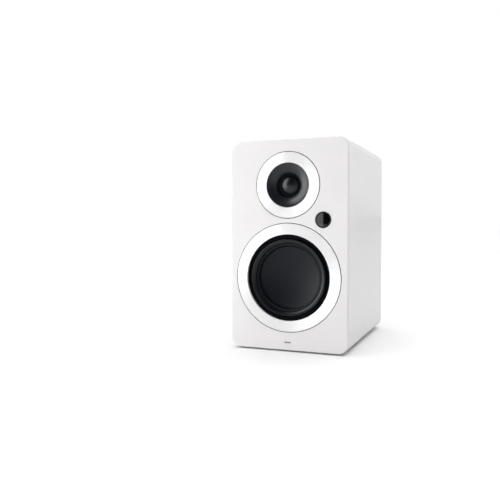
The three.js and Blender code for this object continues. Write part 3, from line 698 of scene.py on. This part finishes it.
fixed(lathe("tweeter_horn", waveguide_outline(), GUIDE, TWEETER, 160), "black_plastic", "tweeter_waveguide")
fit(lathe("tweeter_dome_skin", dome_outline(), SILK, TWEETER, 96), "tweeter_moving", "silk", "tweeter_dome")
fit(lathe("tweeter_dome_roll", dome_roll_outline(), FRAME, TWEETER, 96), "tweeter_moving", "silk")


# ---- Display window ----
corners = [(9.6, -0.35, 0.1), (9.9, -0.4, 0.1), (10.8, -0.4, 0.3), (10.8, 18.3), (15, 18.3)]
corners += [(15, 20), (8.4, 20), (8.4, 2.4), (9.6, 2.4)]
fixed(lathe("window_rim", rounded(corners), GUIDE, WINDOW), "black_plastic", "display_bezel")
pane = rounded([(0, -0.1), (9.4, -0.1, 0.2), (9.4, 2.2), (0, 2.2)])
fixed(lathe("window_pane", pane, PANE, WINDOW), "gloss_black", "display_lens")


# ---- Bass port ----
def port_outline():
    inner_end, mouth = depth("port_tube")
    seat = DEPTH + GAP
    bore = [(18, inner_end + 6), (18, seat - 30)]
    turns = [radians(90 * k / 14) for k in range(15)]
    flare = [(18 + 11 * (1 - cos(t)), seat - 17 + 19.3 * sin(t)) for t in turns]
    rim = rounded([(29, mouth - 0.01), (33, mouth, 0.7), (33, seat), (25.8, seat)])[1:]
    outside = [(24, seat - 6), (21.2, seat - 12), (20.2, seat - 18), (20.2, inner_end + 7)]
    lip = arc(22.2, inner_end + 3.2, 3.8, 3.2, 60, -240, 14)
    return bore + flare + rim + outside + lip


fixed(lathe("port_flare", port_outline(), BLACK, PORT, 128), "black_plastic", "port_tube")


# ---- Woofer, behind the cone ----
def basket():
    corners = [(67, 3.4, 0.4), (67, 7.4), (59.4, 7.4, 1.5), (59.4, 16.5, 4), (46, 44.5, 1.5), (46, 47.2, 0.6)]
    corners += [(19, 47.2, 0.4), (19, 44.6, 0.4), (37.5, 44.6, 1), (37.5, 35, 0.3), (41.2, 35, 1)]
    corners += [(54.8, 15.5, 3), (54.8, LANDING, 0.3), (57.4, LANDING, 0.3), (57.4, 3.4, 0.4)]
    casting = lathe("woofer_frame", rounded(corners), FRAME, WOOFER)
    windows = []
    for k in range(6):
        lying = turn(60 * k, "Y") @ turn(90, "X")
        window = tool_box(27, 44, 15, WOOFER, 26.5, 4)
        windows.append(transformed(window, lying @ Matrix.Translation((0, 54 * MM, 0))))
    return carve(casting, *windows)


def spider_outline():
    inner, outer, thick, folds = 13.3, 40.5, 0.5, 4
    middle_y = 35 - GAP - thick - 0.4
    top = []
    for k in range(97):
        r = inner + (outer - inner) * k / 96
        t = min(max((r - inner - 1.5) / (outer - inner - 5), 0), 1)
        top.append((r, middle_y - 1.1 * sin(TURN * folds * t)))
    return top + [(r, y + thick) for r, y in top[::-1]]


fixed(lathe("woofer_flange_seal", tube(60.3, 66.8, 7.5, 8.3), FOAM, WOOFER), "rubber", "woofer_gasket")
fixed(basket(), "black_metal", "woofer_basket")
spider = lathe("woofer_damper", spider_outline(), CLOTH, WOOFER)
flexible(spider, "woofer_spider")


def motor(driver, where, plate, magnet, yoke, pole, vent):
    """Front plate, ferrite ring and yoke of a driver. Each ring is its inner and outer radius."""
    names = [f"{driver}_{part}" for part in ("top_plate", "magnet", "pole_yoke")]
    (front, gap_end), ferrite, (_, end) = (depth(name) for name in names)
    pieces = [
        (f"{driver}_front_plate", tube(*plate, front, gap_end, 0.5), STEEL, "steel"),
        (f"{driver}_ferrite", tube(*magnet, *ferrite, 1.2), FERRITE, "ferrite"),
    ]
    disc = ferrite[1] + GAP
    back = [(vent, front, 0.5), (pole, front, 0.5), (pole, disc, 1), (yoke, disc, 0.5)]
    back += [(yoke, end, 0.8), (vent, end, 0.8)]
    pieces.append((f"{driver}_yoke", rounded(back), STEEL, "steel"))
    for node, (name, outline, look, slot) in zip(names, pieces):
        fixed(lathe(name, outline, look, where), slot, node)


def winding(driver, where, inner, outer):
    start, end = depth(f"{driver}_voice_coil")
    outline = rounded([(inner, start), (outer, start, 0.2), (outer, end, 0.2), (inner, end)])
    coil = lathe(f"{driver}_winding", outline, COPPER, where)
    fit(coil, f"{driver}_moving", "copper", f"{driver}_voice_coil")


motor("woofer", WOOFER, (15.2, 42), (22, 45), 42, 12.2, 4)
motor("tweeter", TWEETER, (13.1, 30), (15.5, 30.5), 28, 11.3, 2.5)
winding("woofer", WOOFER, 13.3, 14.6)
winding("tweeter", TWEETER, 11.8, 12.6)
former = lathe("woofer_coil_former", tube(12.6, 13, *depth("woofer_former"), 0.1), CLOTH, WOOFER)
fit(former, "woofer_moving", "amber", "woofer_former")


# ---- Inside the box ----
brace_y = 94, 104
rails = 22  # width of the brace's rails
brace_loop = rectangle(INSIDE[0] - 2 * rails, INSIDE[1] - 2 * rails, 16, 0, MIDDLE_Z)
brace_hole = (brace_loop, wall(*brace_y, 0.5, 0.5, True))
brace = board("box_brace", (rectangle(*PANEL, 0, MIDDLE_Z), wall(*brace_y)), BOARD, [brace_hole])
fixed(brace, "board", "cabinet_brace")

for k in range(4):
    node = f"grille_magnet_{k + 1}"
    disc = lathe(f"grille_disc_{k + 1}", tube(0, 5, *depth(node), 0.4), STEEL, middle(node), 48)
    fixed(disc, "steel", node)


def wadding_pad():
    """A loose pad of polyester: puffed between its faces, thin at its rim and uneven all over."""
    w, h = size("damping_pad")
    front, back = depth("damping_pad")
    fill = bmesh.new()
    bmesh.ops.create_cube(fill, size=2)
    bmesh.ops.subdivide_edges(fill, edges=fill.edges[:], cuts=47, use_grid_fill=True)
    for vertex in fill.verts:
        u, v, t = vertex.co.x, vertex.co.z, vertex.co.y
        edge = max(abs(u), abs(v))
        full = (1 - edge**6) ** 0.5 * 0.75 + 0.25
        lumps = noise.noise(Vector((u * 3, v * 5, t * 2)))
        lumps += 0.5 * noise.noise(Vector((u * 9, v * 15, t * 5)))
        spread = (1 - 0.1 * (u * v) ** 2) * (1 - 0.03 * (1 + lumps) * abs(t))
        vertex.co.x = u * w / 2 * spread
        vertex.co.z = v * h / 2 * spread
        vertex.co.y = t * (back - front) / 2 * full * (0.9 + 0.08 * lumps)
    pad = make("wadding", fill, WADDING, middle("damping_pad"), (front + back) / 2, 180, False)
    return fixed(pad, "wadding", "damping_pad")


wadding_pad()

# Each lead's x, y and height over the middle of its driver.
WOOFER_ROUTE = [(46, 52, 22), (50, 64, 24), (44, 92, 26), (40, 120, 20), (38, 150, 26)]
WOOFER_ROUTE.append((38, 177.5, 26))
TWEETER_ROUTE = [(20, 30, -10), (24, 46, -14), (36, 82, -34), (40, 118, -60), (30, 150, -76)]
TWEETER_ROUTE.append((30, 177.5, -78))
CORE = 0.95  # radius of each of a lead's two cores
for driver, where, route in (("woofer", WOOFER, WOOFER_ROUTE), ("tweeter", TWEETER, TWEETER_ROUTE)):
    pair = [[(x, y, where[1] + z + side) for x, y, z in route] for side in (-CORE, CORE)]
    fixed(strands(f"{driver}_twin_lead", pair, CORE, BLACK), "black_plastic", f"{driver}_lead")

window_parts = bmesh.new()
add_board(window_parts, (rectangle(26, 26, 2), wall(BAFFLE + 2.3, BAFFLE + 3.9)))
add_board(window_parts, (rectangle(7, 8, 0.8), wall(13, BAFFLE + 2.32, 0.4)))
fixed(make("window_board", window_parts, CIRCUIT, WINDOW), "circuit", "display_board")


# ---- Amplifier plate ----
SCREW_TIP = 232  # first y of the plate's screws
BOARD_Y, BOARD_BACK = depth("amp_board")
POSTS = {"red": middle("post_cap_red"), "black": middle("post_cap_black")}
POST_BLOCK = middle("post_block")
RCA_BLOCK = middle("rca_block")
RCA = [(RCA_BLOCK[0] + side, RCA_BLOCK[1] + up) for up in (7.5, -7.5) for side in (-7.5, 7.5)]


def through(loop, round_off=0.25):
    return loop, wall(DEPTH + GAP, OUT, 0, round_off, True)


holes = [through(circle(4.6, *where, 32)) for where in RCA]
holes += [through(circle(4.3, *where, 32)) for where in POSTS.values()]
holes += [through(circle(3.9, *KNOB, 32)), through(rectangle(24, 13, 0.8, *INLET))]
holes += [through(rectangle(14, 20, 0.8, *SWITCH)), through(rectangle(11, 11, 0.8, *OPTICAL))]
plate_w, plate_h = size("amp_plate")
plate_edge = (rectangle(plate_w, plate_h, 7, *PLATE, 10), wall(DEPTH + GAP, OUT, 0, 0.6))
fixed(board("amplifier_plate", plate_edge, COATED, holes), "black_metal", "amp_plate")


def screw():
    """A pan head screw with a cross slot, which shows on the plate."""
    under = OUT - SCREW_TIP
    outline = [(0, 0), (1.45, 0), (1.45, under, 0.1), (3.1, under, 0.15)]
    outline += [(3.1, under + 0.7, 0.6), (1.6, under + 1.75, 1.5), (0, under + 1.8)]
    body = lathe("plate_screw_1", rounded(outline, 5), STEEL, y=SCREW_TIP, segments=48)
    bars = [tool_box(w, 1.9, h, (0, 0), OUT + 1.6) for w, h in ((3.3, 0.75), (0.75, 3.3))]
    return carve(body, *bars)


SCREWS = [(side * (plate_w / 2 - 4.5), PLATE[1] + up) for side in (-1, 1) for up in (-71.5, 0, 71.5)]
SCREWS += [(0, PLATE[1] - 71.5), (0, PLATE[1] + 71.5)]
first = screw()
first.location.x, first.location.z = SCREWS[0][0] * MM, SCREWS[0][1] * MM
fixed(first, "steel")
for k, where in enumerate(SCREWS[1:]):
    fixed(again(first, f"plate_screw_{k + 2}", where, SCREW_TIP), "steel")


def marks():
    """Thin printed frames round the sockets, a dotted scale round the knob, and plus and minus."""
    fill = bmesh.new()
    flat = wall(OUT - 0.01, OUT + 0.02)
    line = 0.45

    def frame_line(w, h, r, where):
        inner = rectangle(w - 2 * line, h - 2 * line, r - line, *where)
        add_board(fill, (rectangle(w, h, r, *where), flat), [(inner, flat)])

    frame_line(40, 38, 3, RCA_BLOCK)
    frame_line(17, 17, 3, OPTICAL)
    frame_line(50, 31, 4, (POST_BLOCK[0], POST_BLOCK[1] + 2))
    frame_line(37, 60, 4, (INLET[0], (INLET[1] + SWITCH[1]) / 2 + 1))
    for k in range(11):
        angle = radians(240 - 30 * k)
        spot = KNOB[0] + 15.5 * cos(angle), KNOB[1] + 15.5 * sin(angle)
        add_board(fill, (circle(0.35 + 0.05 * k, *spot, 20), flat))
    top = POST_BLOCK[1] + size("post_block")[1] / 2 + 2.8
    for name, (x, _z) in POSTS.items():
        add_board(fill, (rectangle(3, 0.5, 0.2, x, top, 2), flat))
        if name == "red":
            for side in (-1, 1):
                add_board(fill, (rectangle(0.5, 1.2, 0.2, x, top + side * 0.9, 2), flat))
    return make("plate_print", fill, PRINT, keep_flat=False)


fixed(marks(), "black_plastic")

SHEET = 2.5  # wall of the housing
tray_y = depth("amp_housing")
tray = (rectangle(housing_w, housing_h, 4, *PLATE), wall(*tray_y, 1, 0))
hollow_loop = rectangle(housing_w - 2 * SHEET, housing_h - 2 * SHEET, 2, *PLATE)
hollow = (hollow_loop, wall(tray_y[0] + SHEET, DEPTH), "back")
fixed(board("amplifier_tray", tray, BLACK, [hollow]), "black_plastic", "amp_housing")


# ---- Electronics in the tray ----
board_w, board_h = size("amp_board")
circuit = (rectangle(board_w, board_h, 1.5, *PLATE), wall(BOARD_Y, BOARD_BACK))
fixed(board("amplifier_circuit", circuit, CIRCUIT), "circuit", "amp_board")

coil = middle("power_transformer")
coil_y = depth("power_transformer")
bobbin = (rectangle(30, 30, 6, *coil), wall(*coil_y, 2, 0))
fixed(board("transformer_winding", bobbin, CLOTH), "amber", "power_transformer")
core = (rectangle(38, 32, 1, *coil), wall(coil_y[0] + 7, coil_y[1] - 5, 0.4, 0.4))
fixed(board("transformer_core", core, STEEL), "steel")

top, foot = depth("main_capacitor")
can = [(0, top + 0.4), (9.5, top + 0.4, 0.2), (9.8, top, 0.3), (11, top, 0.6), (11, foot - 4.5, 0.6)]
can += [(10.2, foot - 3.7, 0.6), (11, foot - 2.9, 0.6), (11, foot, 0.8), (0, foot)]
capacitor = lathe("capacitor_can", rounded(can), GLOSS, middle("main_capacitor"), 64)
fixed(capacitor, "gloss_black", "main_capacitor")


def cooling_fins():
    w, h = size("heat_sink")
    front, back = depth("heat_sink")
    root, thin = back - 4, 1.6
    comb = [(-w / 2, -back), (w / 2, -back)]
    for k in range(8):
        right = w / 2 - k * (w - thin) / 7
        left = right - thin
        comb += [(right, -root), (right - 0.15, -front), (left + 0.15, -front), (left, -root)]
    profile = (lambda grow: comb[::-1], wall(-h / 2, h / 2))
    fins = board("cooling_fins", profile, STEEL, at=middle("heat_sink"))
    return transformed(fins, turn(90, "X"))


fixed(cooling_fins(), "steel", "heat_sink")


# ---- Mains inlet and switch ----
def inlet_pieces():
    face, floor = OUT + GAP + 2, OUT + GAP - 10
    fill = bmesh.new()
    rim = (rectangle(30, 17, 3, steps=8), wall(OUT + GAP, face, 0, 0.5))
    mouth = (rectangle(16, 8.4, 3.5, steps=8), wall(floor, face, 0, 0.4, True), "back")
    add_board(fill, rim, [mouth])
    add_board(fill, (rectangle(22.6, 11.6, 2), wall(BOARD_BACK + 1, OUT + GAP - 0.02, 0.5, 0)))
    fixed(make("inlet_body", fill, BLACK, INLET), "black_plastic", "mains_inlet")
    pins = bmesh.new()
    outline = rounded([(0, floor - 0.1), (1.2, floor - 0.1), (1.2, floor + 7, 0.9), (0, floor + 7)], 5)
    for side in (-1, 1):
        pin = bmesh.new()
        revolve(pin, outline, 32)
        join(pins, pin, Matrix.Translation((side * 4.3, 0, 0)))
    fixed(make("inlet_pins", pins, STEEL, INLET), "steel")


inlet_pieces()

face = OUT + GAP + 1.6
fill = bmesh.new()
mouth = (rectangle(10, 17.6, 0.6), wall(OUT - 7.8, face, 0, 0.4, True), "back")
add_board(fill, (rectangle(16.5, 23, 1.2), wall(OUT + GAP, face, 0, 0.5)), [mouth])
add_board(fill, (rectangle(13.2, 19.2, 0.8), wall(BOARD_BACK + 5, OUT - 8)))
fixed(make("switch_frame", fill, BLACK, SWITCH), "black_plastic", "power_switch_body")

ROCKER_Y = OUT - 0.2
ROCKER_TILT = turn(-8, "X")


def valley(z):
    """Height of the rocker's face over its pivot, at a height z."""
    t = (z + 7.5) / 15
    return 3.6 * (1 - t) ** 2 + 2.4 * t * (1 - t) + 3.6 * t * t


def rocker():
    heights = [7.5 - 15 * k / 16 for k in range(17)]
    side = [(z, valley(z)) for z in heights] + [(-7.5, -1), (-3.5, -4.6), (3.5, -4.6), (7.5, -1)]
    upright = Matrix(((0, 1, 0, 0), (0, 0, 1, 0), (1, 0, 0, 0), (0, 0, 0, 1)))
    profile = (lambda grow: side, wall(-4.5, 4.5))
    piece = board("rocker_key", profile, GLOSS, at=SWITCH, y=ROCKER_Y)
    transformed(piece, ROCKER_TILT @ upright)
    edges = piece.modifiers.new("soft_edges", "BEVEL")
    edges.width, edges.segments, edges.angle_limit = 0.35 * MM, 3, radians(35)
    piece.modifiers.move(1, 0)
    return fit(piece, "rocker", "gloss_black", "power_rocker")


def rocker_marks():
    """A bar for on and a ring for off, printed on the two faces of the rocker."""
    fill = bmesh.new()
    thin = wall(-0.04, 0.03)
    bar, ring = [rectangle(0.7, 3, 0.3)], [circle(1.5, steps=32), circle(1.0, steps=32)]
    for z, loops in ((4.4, bar), (-4.4, ring)):
        mark = bmesh.new()
        add_board(mark, (loops[0], thin), [(loop, thin) for loop in loops[1:]])
        slope = atan((valley(z + 0.1) - valley(z - 0.1)) / 0.2)
        join(fill, mark, Matrix.Translation((0, valley(z), z)) @ Matrix.Rotation(-slope, 4, "X"))
    piece = make("rocker_marks", fill, WHITE, SWITCH, ROCKER_Y, keep_flat=False)
    return fit(transformed(piece, ROCKER_TILT), "rocker", "black_plastic")


rocker()
rocker_marks()


# ---- Volume control ----
PITCH = 0.8  # of every thread on the plate
CASE, ROTOR = (218.7, 226.0), (220.2, 223.8)  # first and last y of the encoder's case and of its rotor
BUSH_END = 244.6
chamber = [(0, CASE[0]), (0, ROTOR[0] - GAP), (1.8, ROTOR[0] - GAP), (1.8, ROTOR[1] + GAP)]
chamber += [(0, ROTOR[1] + GAP), (0, CASE[1])]
fill = bmesh.new()
add_board(fill, (rectangle(13, 13, 0.8), wall(*CASE, 0.3, 0.3)), [(circle(3.3), chamber)])
bush = [(3.3, CASE[1] - 0.1), (3.7, CASE[1] - 0.1)]
for k in range(23):
    bush += [(3.7, CASE[1] + 0.4 + PITCH * k), (3.5, CASE[1] + 0.8 + PITCH * k)]
bush += [(3.7, BUSH_END), (3.3, BUSH_END)]
threaded = bmesh.new()
revolve(threaded, bush, 48)
join(fill, threaded)
fixed(make("encoder_case", fill, STEEL, KNOB), "steel", "encoder_body")
hub = lathe("encoder_hub", tube(3.3, 4.8, *ROTOR), BLACK, KNOB, 64)
fit(hub, "volume_rotor", "black_plastic", "encoder_rotor")
stem = lathe("encoder_stem", tube(0, 3, 219.8, 255.4, 0.4), STEEL, KNOB, 64)
fit(stem, "volume_control", "steel", "encoder_shaft")


def knob():
    base, end = depth("volume_knob")
    corners = [(3.3, base, 0.2), (11.2, base, 0.2), (11.4, base + 0.6), (11.9, base + 0.9, 0.2)]
    corners += [(11.5, end - 1.2, 0.2), (10.9, end - 0.9), (10.6, end - 0.2, 0.2), (9.9, end, 0.2)]
    corners += [(6, end, 2), (3, end - 0.35, 2), (0, end - 0.4), (0, end - 3), (3.3, end - 3)]
    outline = rounded(corners)
    piece = lathe("knob_body", outline, KNURL, KNOB, 480, fluted(80, 0.28, 11.42))
    pointer = KNOB[0], KNOB[1] + 8.6
    notch = tool_box(0.9, 1.6, 3.6, pointer, end, 0.4)
    fit(carve(piece, notch), "volume_control", "black_metal", "volume_knob")
    line = (rectangle(0.88, 3.58, 0.42, *pointer), wall(end - 0.9, end - 0.25, 0, 0.1))
    fit(board("knob_pointer", line, WHITE), "volume_control", "black_plastic")


knob()


# ---- Signal sockets ----
block = (rectangle(36, 34, 1.5), wall(BOARD_BACK + 0.1, DEPTH - 2, 0.4, 0.4))
fixed(board("rca_housing", block, BLACK, at=RCA_BLOCK), "black_plastic", "rca_block")
shell = [(3.35, DEPTH - 2, 0.1), (4.2, DEPTH - 2), (4.2, OUT + 8.4, 0.4), (3.9, OUT + 9, 0.1)]
shell.append((3.35, OUT + 9, 0.2))
plug = [(0, DEPTH - 1.9), (3.33, DEPTH - 1.9), (3.33, OUT + 8.6, 0.4), (1.8, OUT + 8.6, 0.3)]
plug += [(1.8, OUT), (0, OUT)]
washer = tube(4.22, 5.6, OUT + 0.02, OUT + 1.1, 0.3)
for k, where in enumerate(RCA):
    coloured = (RED, "signal_red") if where[0] > RCA_BLOCK[0] else (WHITE, "black_plastic")
    parts = (("shell", rounded(shell), CHROME, "brass"), ("insulator", rounded(plug), *coloured))
    for part, outline, look, slot in (*parts, ("washer", washer, *coloured)):
        fixed(lathe(f"rca_{part}_{k + 1}", outline, look, where, 64), slot)

slot_hole = (rectangle(6.4, 6.4, 0.6), wall(OUT - 0.5, OUT + 2, 0, 0.25, True), "back")
block = (rectangle(10.4, 10.4, 1), wall(BOARD_BACK + 0.1, OUT + 2, 0.2, 0.4))
fixed(board("optical_body", block, BLACK, [slot_hole], at=OPTICAL), "black_plastic", "optical_socket")
flap = (rectangle(6.2, 6.2, 0.5, *OPTICAL), wall(OUT - 0.45, OUT + 0.1, 0, 0.15))
slot_line = (rectangle(2.6, 2.6, 0.4, *OPTICAL), wall(OUT - 0.2, OUT + 0.1, 0, 0.1, True), "back")
fixed(board("optical_shutter", flap, GUIDE, [slot_line]), "black_plastic")


# ---- Binding posts ----
block_y = depth("post_block")
block_w, block_h = size("post_block")
sockets = [(circle(3.3, *where, 32), wall(*block_y, 0, 0.3, True)) for where in POSTS.values()]
post_base = (rectangle(block_w, block_h, 3, *POST_BLOCK, 8), wall(*block_y, 0, 0.8))
fixed(board("post_base", post_base, BLACK, sockets), "black_plastic", "post_block")

THREAD_START = 246.75
for color, where in POSTS.items():
    start, end = depth(f"post_stud_{color}")
    bolt = [(0, start), (3, start), (3, 234), (5, 234, 0.4), (5, 240, 0.4), (3, 240)]
    for k in range(15):
        crest = THREAD_START + PITCH * k
        bolt += [(3, crest), (2.72, crest + 0.4)]
    bolt += [(3, end - 0.4), (2.6, end), (2.1, end), (2.1, end - 14), (0, end - 14)]
    fixed(lathe(f"{color}_stud", rounded(bolt), CHROME, where, 64), "brass", f"post_stud_{color}")

    start, end = depth(f"post_collar_{color}")
    washer = tube(3.3, 6.6, start, end, 0.35)
    fit(lathe(f"{color}_clamp", washer, CHROME, where), f"{color}_collar", "brass", f"post_collar_{color}")

    start, end = depth(f"post_cap_{color}")
    look, slot = (RED, "signal_red") if color == "red" else (GLOSS, "gloss_black")
    grip = [(3.3, start, 0.2), (6.9, start, 0.3), (7.4, start + 0.8, 0.3), (7.4, end - 1.4, 0.5)]
    grip += [(6.6, end, 0.5), (3.9, end, 0.2), (3.9, end - 0.7), (3.3, end - 0.7)]
    cap = lathe(f"{color}_grip", rounded(grip, 5), look, where, 288, fluted(18, 0.7, 6.7))
    fit(cap, f"{color}_cap", slot, f"post_cap_{color}")
    sleeve = tube(2.1, 3.88, end - 0.69, end - 0.08, 0.12)
    fit(lathe(f"{color}_sleeve", sleeve, CHROME, where, 64), f"{color}_cap", "brass")


# ---- Floor, light and camera ----
def floor():
    fill = bmesh.new()
    bmesh.ops.create_grid(fill, x_segments=1, y_segments=1, size=30000)
    look = Look("studio_floor", (0.93, 0.93, 0.93), 0.6)
    look.tint(look.noise(3, 2), 0.995, 1.0)
    make("floor", fill, look, keep_flat=False)


def softbox(name, left, right, low, high, strength, diffuse=True, glossy=True):
    """An upright softbox between two places (x, y) on the floor, facing the speaker."""
    ends = Vector(left), Vector(right)
    width, height = (ends[1] - ends[0]).length, high - low
    foot = (ends[0] + ends[1]) / 2
    light = bpy.data.lights.new(name, "AREA")
    light.shape = "RECTANGLE"
    light.size, light.size_y = width, height
    light.energy = strength * width * height * pi
    made = placed(name, light)
    made.location = (*foot, (low + high) / 2)
    across = (ends[1] - ends[0]).normalized()
    facing = Vector((across.y, -across.x, 0))
    if facing.dot(-foot.to_3d()) < 0:
        facing = -facing
    made.rotation_euler = facing.to_track_quat("-Z", "Y").to_euler()
    made.visible_camera, made.visible_diffuse, made.visible_glossy = False, diffuse, glossy


def studio():
    """A white background, whose light comes from behind the speaker, a wide sun and softboxes."""
    world = bpy.data.worlds.new("studio")
    bpy.context.scene.world = world
    world.use_nodes = True
    tree = world.node_tree
    facing = add_node(tree, "TexCoord").outputs["Generated"]
    split = add_node(tree, "SeparateXYZ", {0: facing})
    behind = map_range(tree, split.outputs["Y"], -0.1, 0.3, 0.1, 1)
    above = map_range(tree, split.outputs["Z"], 0.0, 0.35, 0.18, 0.47)
    both = add_node(tree, "Math", {0: behind, 1: above}, operation="MULTIPLY")
    lit = add_node(tree, "Background", {"Strength": both.outputs[0]})
    lit.inputs["Color"].default_value = (0.98, 0.985, 1, 1)
    shown = tree.nodes["Background"]
    shown.inputs["Color"].default_value = (1, 1, 1, 1)
    seen = add_node(tree, "LightPath").outputs["Is Camera Ray"]
    mix = add_node(tree, "MixShader", {0: seen, 1: lit.outputs[0], 2: shown.outputs[0]})
    feed(tree, tree.nodes["World Output"].inputs["Surface"], mix.outputs[0])
    overhead = bpy.data.lights.new("overhead", "SUN")
    overhead.energy, overhead.angle = 3.05, radians(80)
    placed("overhead", overhead).visible_glossy = False
    softbox("key", (-1.0, -0.75), (-0.45, -1.05), 0.0, 0.25, 9.4, glossy=False)
    softbox("strip", (-0.53, -1.58), (-0.369, -1.63), 0.1, 0.28, 2.2)
    softbox("side_window", (-1.15, -0.12), (-0.7, -1.0), 0.0, 1.8, 5.0, diffuse=False)
    softbox("rear_window", (0.12, 1.25), (0.95, 0.75), 0.2, 1.5, 0.9, diffuse=False)
    softbox("right_fill", (0.75, -1.0), (1.1, -0.3), 0.3, 1.4, 0.48)


def camera():
    """Seen from the right and from about mid-height, by a short telephoto lens."""
    lens = bpy.data.cameras.new("camera")
    lens.lens, lens.sensor_width = 42.5, 36
    made = placed("camera", lens)
    made.location = (0.2623, FRONT * MM - 0.7608, 0.1757)
    yaw, pitch, roll = radians(22.66), radians(-2.54), radians(-0.18)
    level = cos(pitch)
    ahead = Vector((-sin(yaw) * level, cos(yaw) * level, sin(pitch)))
    aim = ahead.to_track_quat("-Z", "Y")
    made.rotation_mode = "QUATERNION"
    made.rotation_quaternion = aim @ Matrix.Rotation(roll, 3, "Z").to_quaternion()
    bpy.context.scene.camera = made


floor()
studio()
camera()
bpy.context.scene.view_settings.view_transform = "Standard"
